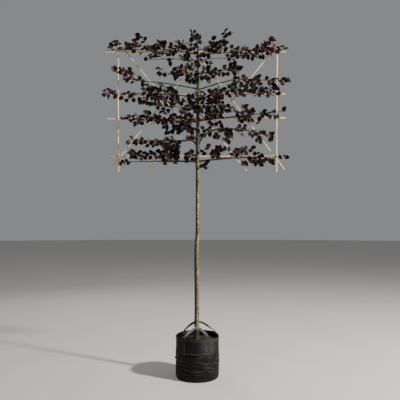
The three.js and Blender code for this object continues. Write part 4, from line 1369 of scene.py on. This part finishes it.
def model_tie():
    """Models one tie: two loops laid crosswise round a crossing of two canes, and a knot with two tails."""
    make_active()
    parts = []
    for turn in (45, -45):
        bpy.ops.mesh.primitive_torus_add(major_segments=20, minor_segments=6, major_radius=1,
                                         minor_radius=TIE_CORD)
        parts.append(bpy.context.object)
        with editing(parts[-1], closed=False):
            bpy.ops.transform.resize(value=TIE_LOOP)
        parts[-1].rotation_euler = (0, math.radians(turn), 0)
    bpy.ops.mesh.primitive_uv_sphere_add(segments=8, ring_count=6, radius=KNOT, location=(0, KNOT_DEPTH, 0))
    parts.append(bpy.context.object)
    for turn in (-1, 1):
        bpy.ops.mesh.primitive_cylinder_add(**TAIL, location=(turn * 0.004, -0.0165, -0.0058),
                                            rotation=(math.radians(-12), math.radians(turn * -32), 0))
        parts.append(bpy.context.object)
        with editing(parts[-1], closed=False):
            pick(lambda v: v.co.z < 0)
            bpy.ops.transform.resize(value=(0.6, 1.5, 1))
    make_active(*parts)
    bpy.ops.object.join()
    settle(parts[0])
    with editing(parts[0]):
        bpy.ops.mesh.quads_convert_to_tris()
    return parts[0]


# ---- Bag, compost and handles ----------------------------------------------------------------------

BAG_SIDES = 160
# Levels of the wall's rings, and the base's rings as shares of its radius.
BAG_LEVELS = [0, 2, 5, 9, 14, 19, *range(24, 400, 4), 400]
BASE_SHARES = (1, 0.9, 0.62, 0.3, 0.06)
CLOTH = 2.4  # thickness of the bag's wall
BASE_SEAM = 24
CREASE_HEIGHT = 256
# The wall's main creases, as (bearing, height, half width, slope, depth share, thickness).
CREASES = [(-1.6, CREASE_HEIGHT, 1.05, 0.5, 1.15, 5.5), (-1.1, CREASE_HEIGHT - 12, 0.5, -4, 0.8, 5),
           (0.9, CREASE_HEIGHT + 6, 0.9, -3, 0.8, 6), (2.3, CREASE_HEIGHT - 4, 0.7, 3, 0.9, 6)]
FINE_CREASES = 64
# The compost's sides, as (height, radius), and the rings that its top is drawn in by.
COMPOST_SIDES = [(12, 193), (30, 199), (120, 203), (260, 201), (352, 201)]
COMPOST_ROUND = 96  # points round it
TOP_RINGS = 24
TOP_STEP = 7.9  # between its rings
LUMPS = ((5.5, 34, 2.0), (3.0, 11, 5.0), (1.5, 4.5, 9.0))  # its lumps, as (height, width, layer)
EDGE_DROP, EDGE_SPAN = 8, (150, 202)  # how much lower its edge is, and where that comes in
# Spans of height over which the wall's parts come in, each from nothing to full.
# The last span, high on the wall, brings in the painted highlight on the front-right shoulder.
BAG_ZONES = {"wall": (6, 28), "lower": (275, 215), "hem": (372, 374), "flop": (330, 400),
             "sag": (300, 400), "sheen_and_wear": (235, 295)}
CRUMBS = 620
CRUMB_SPREAD = 196
CRUMB_REACH = (34, 201)  # crumbs keep off the stem and the bag
# The webbing's section, as (across, through) shares: fuller edges and a flatter middle.
STRAP_SECTION = [(-0.5, 0.0), (-0.47, 0.5), (-0.4, 0.34), (0.0, 0.3), (0.4, 0.34), (0.47, 0.5),
                 (0.5, 0.0), (0.47, -0.5), (0.4, -0.34), (0.0, -0.3), (-0.4, -0.34), (-0.47, -0.5)]
SEWN_ROWS = 16  # rows of the webbing's section on each sewn foot
LOOP_ROWS = 41
RIPPLE, CUP = 1.1, 1.6  # how far the loop's webbing strays, and how far its edges curl
STITCH = 0.45  # radius of the thread
STITCH_BOW = ((0, -0.5), (0.25, 0.35), (0.75, 0.35), (1, -0.5))  # as (share of its length, rise)
STITCH_ROW = 0.36  # the webbing's rows of stitches are this far from its middle, of its width
STITCHES = 200  # to one round of the bag
SEAMS = (377, 381, BASE_SEAM + 5)


def bag_creases():
    """The main creases, and finer ones scattered over the lower wall."""
    random = seeded(5)
    creases = list(CREASES)
    for _ in range(FINE_CREASES):
        high = 55 + 180 * random() ** 0.9
        creases.append((2 * math.pi * random() - math.pi, high, 0.16 + 0.42 * random(),
                        26 * (random() - 0.45), 0.4 + 0.6 * random(), 4.5 + 3.5 * random()))
    return creases


def bag_relief(bearings, heights, depth):
    """How far the wall's creases stand off its even shape, in millimetres."""
    off = np.zeros_like(bearings)
    for bearing, height, half, slope, share, thick in bag_creases():
        turn = turned(bearings, bearing)
        window = np.clip(1 - (turn / half) ** 2, 0, 1) ** 1.5
        rise = (heights - height - slope * turn - 3.5 * np.sin(turn * 9 + height)) / thick
        off += depth * share * window * (0.95 * bell((rise - 1.2) / 0.8) - 0.85 * bell(rise))
    return off


def wall_noise(bearings, levels, wide, high, start=0):
    """Lumps on a wall, each about a turn / wide across and high millimetres high."""
    return np.array([noise.noise(Vector((math.cos(b) * wide, math.sin(b) * wide, level / high + start)))
                     for b, level in zip(bearings, levels)])


def model_bag(settings):
    """Models the bag's wall from its flat base up, and then gives the cloth its thickness."""
    foot = BAG_WALL[0][1]
    bag = start_disc(BAG_SIDES, foot)
    draw_edges = bpy.ops.mesh.extrude_edges_move
    with editing(bag):
        bpy.ops.mesh.delete(type="ONLY_FACE")
        bpy.ops.mesh.select_all(action="SELECT")
        draw_out(upright([(level, read_table(BAG_WALL, level, 1)) for level in BAG_LEVELS]), draw_edges)
        # The base is drawn in from the lowest ring and closed in its middle.
        pick(lambda v: v.co.z < 1e-6)
        draw_out(upright([(0, foot * share) for share in BASE_SHARES]), draw_edges)
        bpy.ops.mesh.edge_face_add()

    places = points_of(bag.data)
    levels = places[:, 2] / MM
    reach = np.hypot(places[:, 0], places[:, 1]) / MM
    bearings = np.arctan2(places[:, 1], places[:, 0])
    creased = bag_relief(bearings, levels, settings.wrinkle / MM)
    soft = wall_noise(bearings, levels, 1.6, 95)
    fine = wall_noise(bearings, levels, 9, 17, 40)
    zone = {name: climb(levels, *span) for name, span in BAG_ZONES.items()}
    over = levels - BASE_SEAM
    off = zone["wall"] * (creased + 2.6 * soft + fine * (0.5 + 0.9 * zone["lower"]))
    off += 1.5 * bell(over / 2.2) - 0.8 * bell((over + 6) / 3) + 1.3 * zone["hem"]
    # The rim flops: it leans out at the front right, and stands up or sags between the handles.
    off += zone["flop"] ** 2 * (
        4.0 * bell((bearings + 0.95) / 0.32) - 2.0 * np.cos(2 * bearings + 0.5)
        - 2.6 * np.sin(5 * bearings + 1.1) + 2.0)
    dip = settings.rim_dip / MM * (0.45 + 0.35 * np.sin(2 * bearings + 1.9) + 0.2 * np.sin(7 * bearings)) - 8
    drop = zone["sag"] * dip
    grown = (reach + np.where(reach > foot - 1, off, 0)) / np.maximum(reach, 1e-6)
    set_points(bag.data, places * np.column_stack([grown, grown, grown**0]) - np.outer(drop * MM, (0, 0, 1)))
    # Painted highlights: the crests of the creases, a line along the main fold and the front-right shoulder
    # are made paler where the key light falls on them; the hem's share is real scuffing.
    fold = bell((levels - CREASE_HEIGHT - 6) / 3) * bell((bearings + 1.75) / 0.45, 4)
    wear = (1.2 * climb(creased, 1.1, 4.3) + 0.3 * zone["hem"] + 0.9 * fold
            + 0.9 * zone["sheen_and_wear"] * bell((bearings + 1.02) / 0.36))
    set_attribute(bag.data, "wear", np.clip(wear, 0, 1))

    make_active(bag)
    wall = bag.modifiers.new("Cloth", "SOLIDIFY")
    wall.thickness = CLOTH * MM
    wall.offset = -1
    bpy.ops.object.modifier_apply(modifier="Cloth")
    smooth(bag, 70)
    return bag


def compost_top(x, y):
    """The compost's height at a place, in millimetres: a low mound, lumps, and a lower edge."""
    lumps = sum(size * noise.noise(Vector((x / wide, y / wide, layer)))
                for size, wide, layer in LUMPS)
    edge = smooth_step(math.hypot(x, y), *EDGE_SPAN)
    mound = 5 * bell((x - 60) / 60) * bell((y + 120) / 50)
    return COMPOST_TOP - EDGE_DROP * edge + lumps * (1 - 0.5 * edge) + mound


def model_compost():
    """Draws the compost's sides up, closes them with rings, and gives its top its lumps."""
    foot, radius = COMPOST_SIDES[0]
    compost = start_disc(COMPOST_ROUND, radius, foot)
    with editing(compost):
        draw_out(upright(COMPOST_SIDES))
        for _ in range(TOP_RINGS):
            bpy.ops.mesh.inset(thickness=TOP_STEP * MM, use_boundary=True)
        bpy.ops.mesh.poke()
    places = points_of(compost.data)
    for place in places:
        x, y, z = place / MM
        if z > COMPOST_SIDES[-1][0] - 2:
            place[2] = compost_top(x, y) * MM
    set_points(compost.data, places)
    smooth(compost, 50)
    return compost


def scatter_crumbs(size):
    """Crumbs and chips of bark on the compost, each a squashed stone of twenty faces."""
    make_active()
    bpy.ops.mesh.primitive_ico_sphere_add(subdivisions=1, radius=1)
    shape, corners = take_shape(bpy.context.object)
    random = seeded(77)
    parts = []
    for i in range(CRUMBS):
        reach = CRUMB_SPREAD * math.sqrt(random())
        bearing = 2 * math.pi * random()
        x, y = reach * math.cos(bearing), reach * math.sin(bearing)
        turn = Matrix.Rotation(2 * math.pi * random(), 3, "Z") @ Matrix.Rotation(0.6 * random(), 3, "X")
        wide = size / MM * (0.22 + 0.5 * random() ** 2)
        squash = np.array([wide * (1 + 0.9 * random()), wide, wide * (0.45 + 0.4 * random())])
        if reach < CRUMB_REACH[0] or reach + wide * 2 > CRUMB_REACH[1]:
            continue
        rough = shape * (1 + 0.22 * np.sin(shape[:, [1]] * 7 + i)) * squash
        placed = rough @ np.array(turn).T + (x, y, compost_top(x, y) + squash[2] * 0.3)
        parts.append((placed * MM, corners))
    return joined_piece("crumbs", parts)


def handle_frames(side, left, right, lean, top, narrow, roll):
    """A handle's middle line and its two section axes, from one sewn foot over the loop to the other."""
    rim = BAG_WALL[-1][0]
    off = STRAP["off"] + STRAP["thick"] / 2

    def leg(bearing):
        angle = math.radians(bearing)
        outward = np.array([math.sin(angle), side * math.cos(angle), 0.0])
        flat = np.array([-side * outward[1], side * outward[0], 0.0])
        return (lambda z: outward * (read_table(BAG_WALL, z, 1) + off) + (0, 0, z)), flat

    (first_leg, first_flat), (last_leg, last_flat) = leg(-left), leg(right)
    start, end = first_leg(rim + STRAP["clear"]), last_leg(rim + STRAP["clear"])
    # The loop is a cubic curve, pulled so that its middle stands at the lean and the top.
    pull = [(8 * to - 2 * start[axis]) / 6 for axis, to in ((1, side * lean), (2, top))]
    handles = [np.array([foot[0] * narrow, *pull]) for foot in (start, end)]
    sewn = np.linspace(rim - STRAP["sewn"], rim + 2, SEWN_ROWS)
    t = np.linspace(0, 1, LOOP_ROWS)[:, None]
    loop = (start * (1 - t) ** 3 + 3 * handles[0] * t * (1 - t) ** 2 + 3 * handles[1] * t**2 * (1 - t)
            + end * t**3)
    points = np.array([*map(first_leg, sewn), *loop, *map(last_leg, sewn[::-1])])
    plane = np.cross((1, 0, 0), unit(np.array([0, side * lean - start[1], top - start[2]])))
    last = len(points) - 1
    frames = []
    for i, (at, way) in enumerate(zip(points, unit(np.gradient(points, axis=0)))):
        foot = first_flat if i < last / 2 else -last_flat
        share = smooth_step(min(i, last - i), SEWN_ROWS, SEWN_ROWS + 14)
        flat = foot + (np.cross(plane, way) - foot) * share
        flat = unit(flat - way * flat.dot(way))
        through = np.cross(way, flat)
        turn = math.radians(roll) * share
        frames.append((at, flat * math.cos(turn) + through * math.sin(turn),
                       through * math.cos(turn) - flat * math.sin(turn)))
    return frames


def model_handle(name, shape):
    """Sweeps the webbing's section along its handle, a little rumpled, with its ends closed."""
    frames = handle_frames(**shape)
    way = Vector((shape["top"], 3.0, 1.0))
    points, grain, loose = [], [], []
    for i, ((at, flat, through), walked) in enumerate(zip(frames, walked_lengths([at for at, *_ in frames]))):
        free = smooth_step(min(i, len(frames) - 1 - i), SEWN_ROWS, SEWN_ROWS + 6)
        ripple = RIPPLE * free * noise.noise(way + Vector((walked / 24, 0, 0)))
        cup = CUP * free
        for across, deep in STRAP_SECTION:
            lift = deep * STRAP["thick"] + ripple + cup * (2 * across) ** 2 - cup / 2
            points.append((at + flat * across * STRAP["width"] + through * lift) * MM)
            grain.append((across * STRAP["width"] * MM, 0, walked * MM))
            loose.append(0.15 + 0.85 * free)
    sides, last = len(STRAP_SECTION), len(points) - len(STRAP_SECTION)
    faces = tube_faces(0, len(frames), sides)
    faces += [range(sides)[::-1], range(last, last + sides)]
    handle = mesh_piece(name, points, faces, grain=grain, free=loose)
    with editing(handle):
        pass  # its faces are turned outwards on the way out
    smooth(handle, 50)
    return handle


def add_stitch(bundle, start, end, outward):
    """One stitch: a short thread that bows out of the cloth and dips into it at both ends."""
    line = [start + (end - start) * share + outward * rise for share, rise in STITCH_BOW]
    bundle.add(np.array(line) * MM, [STITCH * MM] * len(line), 4)


def stitch_bundle(bag):
    """Stitching of the hem, of the base seam and of the handles' sewn feet."""
    bundle = TubeBundle()
    tree = BVHTree.FromPolygons([v.co for v in bag.data.vertices], [p.vertices[:] for p in bag.data.polygons])
    for level in SEAMS:
        for i in range(STITCHES):
            (start, outward), (end, _) = (wall_spot(tree, 2 * math.pi * turn / STITCHES, level)
                                          for turn in (i, i + 0.62))
            add_stitch(bundle, start, end, outward)
    for shape in HANDLES.values():
        frames = handle_frames(**shape)
        for rows in (frames[:SEWN_ROWS], frames[::-1][:SEWN_ROWS]):
            for across in (-STITCH_ROW, STITCH_ROW):
                for step in range(2 * (SEWN_ROWS - 2)):
                    at, flat, _ = rows[step // 2]
                    up = rows[step // 2 + 1][0] - at
                    outward = np.array([at[0], at[1], 0]) / math.hypot(at[0], at[1])
                    start = at + flat * across * STRAP["width"] + up * (0.5 * (step % 2) + 0.08)
                    start = start + outward * STRAP["thick"] * 0.42
                    add_stitch(bundle, start, start + up * 0.34, outward)
    return bundle


def wall_spot(tree, bearing, level):
    """A place on the bag's outer face and the way out of it, in millimetres."""
    outward = Vector((math.cos(bearing), math.sin(bearing), 0))
    place, normal, _, _ = tree.ray_cast(outward * 0.4 + Vector((0, 0, level * MM)), -outward)
    return np.array(place) / MM, np.array(normal)


# ---- Operators -------------------------------------------------------------------------------------

LAMP_AIM = Vector((0, 0, 1.7))
# Lights, as (name, place, side in metres, watts, colour).
LAMPS = [
    ("Key", (5.8, -3.05, 5.4), 0.5, 1250, (1.0, 0.955, 0.88)),
    ("Fill", (-4.5, -4.5, 2.6), 3.5, 8, (0.9, 0.95, 1.0)),
    ("Rim", (-2.5, 4.5, 4.5), 2.5, 90, (1.0, 0.98, 0.95)),
]
LENS = {"lens": 39.5, "sensor_width": 36, "shift_x": 0.0065, "shift_y": 0.075, "clip_end": 200}
CAMERA_PLACE = (0, -4.3, 1.429)
SKY_STRENGTH = 0.31
FLOOR_RADIUS, FLOOR_RIM, FLOOR_DROP = 60, 50, 0.0005  # in metres


def nodes_from(start):
    return [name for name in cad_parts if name.startswith(start)]


class BEECH_OT_trunk(bpy.types.Operator):
    """Models the trunk with its root flare, scars and bark"""

    bl_idname = "beech.trunk"
    bl_label = "Trunk"

    def execute(self, context):
        bark = context.scene.beech_bark
        finish = bark_material("Trunk bark", bark.light, bark.dark, bark.lichen, 1.0)
        finish_piece(model_trunk(bark.relief), "trunk_bark", finish, ["trunk"])
        return {"FINISHED"}


class BEECH_OT_limbs(bpy.types.Operator):
    """Grows the trained limbs from the trunk to their tips"""

    bl_idname = "beech.limbs"
    bl_label = "Limbs"

    def execute(self, context):
        bark = context.scene.beech_bark
        limbs = limb_bundle().piece("limbs")
        places = points_of(limbs.data)
        normals = np.array([tuple(v.normal) for v in limbs.data.vertices])
        way = Vector((1.9, 0.4, 6.1))
        rises = np.array([bark_relief(place * 1.6, way, bark.relief * 0.55) for place in places])
        set_points(limbs.data, places + normals * rises[:, None])
        smooth(limbs, 60)
        finish = bark_material("Limb bark", bark.limb, bark.limb_dark, bark.lichen, 0.35)
        finish_piece(limbs, "limbs", finish, nodes_from("bough_"))
        return {"FINISHED"}


class BEECH_OT_twigs(bpy.types.Operator):
    """Grows the twigs that carry the leaves, with a bud at each tip"""

    bl_idname = "beech.twigs"
    bl_label = "Twigs"

    def execute(self, context):
        bark = context.scene.beech_bark
        bundle = TubeBundle()
        for index, (line, root) in enumerate(crown().twigs):
            radii = np.linspace(root, TWIG["tip"], len(line)) * MM
            bundle.add(np.array(line) * MM, radii, TWIG_SIDES, start=index * 0.7)
            way = (line[-1] - line[-2]).normalized()
            bud = np.array([line[-1] + way * off for off, _ in BUD])
            bundle.add(bud * MM, np.array([radius for _, radius in BUD]) * MM, TWIG_SIDES)
        twigs = bundle.piece("twigs")
        smooth(twigs, 60)
        finish = bark_material("Twig bark", bark.twig, bark.limb_dark, bark.lichen, 0.2)
        finish_piece(twigs, "twigs", finish, nodes_from("foliage_"))
        return {"FINISHED"}


class BEECH_OT_leaves(bpy.types.Operator):
    """Models the leaf shapes and sets one on every place that the twigs give it, by colour"""

    bl_idname = "beech.leaves"
    bl_label = "Leaves"

    def execute(self, context):
        foliage = context.scene.beech_foliage
        size = foliage.leaf_length, foliage.leaf_width
        shapes = [take_shape(model_leaf(shape, *size)) for shape in LEAF_SHAPES]
        for kind, wax in WAX.items():
            placed = [leaf for leaf in crown().leaves if leaf[4] == kind]
            piece = scatter_leaves(f"leaves_{kind}", shapes, placed, *size)
            finish = leaf_material(f"Leaf {kind}", getattr(foliage, kind), *wax)
            finish_piece(piece, f"leaves_{kind}", finish, nodes_from("foliage_"))
        return {"FINISHED"}


class BEECH_OT_canes(bpy.types.Operator):
    """Models a bamboo cane and cuts the rails, posts and braces from it"""

    bl_idname = "beech.canes"
    bl_label = "Bamboo canes"

    def execute(self, context):
        settings = context.scene.beech_canes
        stock = model_stock_cane(settings.joint_swell)
        finish = cane_material(settings)
        for number, (name, points, radius) in enumerate(cane_lines()):
            cane = cut_cane(stock, points, radius, number)
            finish_piece(cane, f"bamboo_{name}", finish, [f"cane_{name}"])
        bpy.data.objects.remove(stock)
        return {"FINISHED"}


class BEECH_OT_ties(bpy.types.Operator):
    """Models a tie and copies it to every crossing of the cane frame"""

    bl_idname = "beech.ties"
    bl_label = "Ties"

    def execute(self, context):
        shape, corners = take_shape(model_tie())
        parts = []
        for i, (middle, reach) in enumerate(crossings()):
            turn = Matrix.Rotation(math.radians(8 * math.sin(i * 2.3)), 3, "Y")
            size = reach / (2 * RAIL_RADIUS)
            parts.append((shape * size @ np.array(turn).T + np.array(middle) * MM, corners))
        ties = joined_piece("ties", parts)
        smooth(ties, 60)
        colour = context.scene.beech_canes.tie
        finish = plain_material("Soft tie", (colour, shade(colour, 3.2)), 160.0, (0.62, 0.8),
                                (900.0, 0.4, 0.0005))
        finish_piece(ties, "ties", finish)
        return {"FINISHED"}


class BEECH_OT_bag(bpy.types.Operator):
    """Models the grow bag with its creases, base seam, hem and stitching"""

    bl_idname = "beech.bag"
    bl_label = "Grow bag"

    def execute(self, context):
        settings = context.scene.beech_bag
        bag = model_bag(settings)
        finish_piece(bag, "bag_cloth", bag_material(settings), ["bag"])
        stitches = stitch_bundle(bag).piece("bag_stitching")
        smooth(stitches, 60)
        finish = plain_material("Stitching thread", (shade(settings.thread, 0.45), settings.thread), 120.0,
                                (0.7, 0.55), (2500.0, 0.4, 0.0003))
        finish_piece(stitches, "bag_stitching", finish)
        return {"FINISHED"}


class BEECH_OT_handles(bpy.types.Operator):
    """Sweeps the two webbing handles over the bag's mouth"""

    bl_idname = "beech.handles"
    bl_label = "Handles"

    def execute(self, context):
        finish = strap_material(context.scene.beech_bag)
        for name, shape in HANDLES.items():
            finish_piece(model_handle(name, shape), f"webbing_{name}", finish, [name])
        return {"FINISHED"}


class BEECH_OT_compost(bpy.types.Operator):
    """Models the compost and scatters its crumbs and bark chips"""

    bl_idname = "beech.compost"
    bl_label = "Compost"

    def execute(self, context):
        settings = context.scene.beech_compost
        bed = compost_material("Compost", settings, 0.0)
        finish_piece(model_compost(), "compost_bed", bed, ["compost"])
        chips = compost_material("Bark chips", settings, 1.0)
        finish_piece(scatter_crumbs(settings.crumb), "compost_crumbs", chips)
        return {"FINISHED"}


class BEECH_OT_studio(bpy.types.Operator):
    """Sets the plain floor, the soft lights and the camera"""

    bl_idname = "beech.studio"
    bl_label = "Studio"

    def execute(self, context):
        scene = context.scene
        settings = scene.beech_studio
        make_active()
        bpy.ops.mesh.primitive_circle_add(vertices=96, radius=FLOOR_RADIUS, fill_type="NGON",
                                          location=(0, 0, -FLOOR_DROP))
        floor = bpy.context.object
        floor.name = "studio_floor"
        with editing(floor, closed=False):
            bpy.ops.mesh.inset(thickness=FLOOR_RIM)
        tones = shade(settings.floor, 0.96), settings.floor
        floor.data.materials.append(plain_material("Studio floor", tones, 1.4, (0.8, 0.9)))

        scene.world = bpy.data.worlds.new("Studio surround")
        scene.world.use_nodes = True
        surround = scene.world.node_tree.nodes["Background"].inputs
        surround["Color"].default_value = (*settings.sky, 1.0)
        surround["Strength"].default_value = SKY_STRENGTH
        for name, place, side, power, colour in LAMPS:
            light = bpy.data.lights.new(name, "AREA")
            light.shape, light.size, light.energy, light.color = "SQUARE", side, power, colour
            lamp = bpy.data.objects.new(name, light)
            scene.collection.objects.link(lamp)
            lamp.location = place
            lamp.rotation_euler = (LAMP_AIM - Vector(place)).to_track_quat("-Z", "Y").to_euler()

        lens = bpy.data.cameras.new("Camera")
        for label, value in LENS.items():
            setattr(lens, label, value)
        scene.camera = bpy.data.objects.new("Camera", lens)
        scene.collection.objects.link(scene.camera)
        scene.camera.location = CAMERA_PLACE
        scene.camera.rotation_euler = (math.pi / 2, 0, 0)
        return {"FINISHED"}


OPERATORS = (
    BEECH_OT_studio, BEECH_OT_trunk, BEECH_OT_limbs, BEECH_OT_twigs, BEECH_OT_leaves, BEECH_OT_canes,
    BEECH_OT_ties, BEECH_OT_bag, BEECH_OT_handles, BEECH_OT_compost,
)


class BEECH_PT_panel(bpy.types.Panel):
    """Lists the tree's pieces and their settings"""

    bl_idname = "BEECH_PT_panel"
    bl_label = "Pleached Beech"
    bl_space_type = "VIEW_3D"
    bl_region_type = "UI"
    bl_category = "Beech"

    def draw(self, context):
        for operator in OPERATORS:
            self.layout.operator(operator.bl_idname, text=operator.bl_label)
        for name, group in SETTINGS.items():
            box = self.layout.box()
            for label in group.__annotations__:
                box.prop(getattr(context.scene, name), label)


def register():
    for group in SETTINGS.values():
        bpy.utils.register_class(group)
    for name, group in SETTINGS.items():
        setattr(bpy.types.Scene, name, bpy.props.PointerProperty(type=group))
    for operator in OPERATORS:
        bpy.utils.register_class(operator)
    bpy.utils.register_class(BEECH_PT_panel)


def unregister():
    bpy.utils.unregister_class(BEECH_PT_panel)
    for operator in reversed(OPERATORS):
        bpy.utils.unregister_class(operator)
    for name in SETTINGS:
        delattr(bpy.types.Scene, name)
    for group in SETTINGS.values():
        bpy.utils.unregister_class(group)


def main():
    register()
    for operator in OPERATORS:
        _, name = operator.bl_idname.split(".")
        getattr(bpy.ops.beech, name)()


if __name__ == "__main__":
    main()
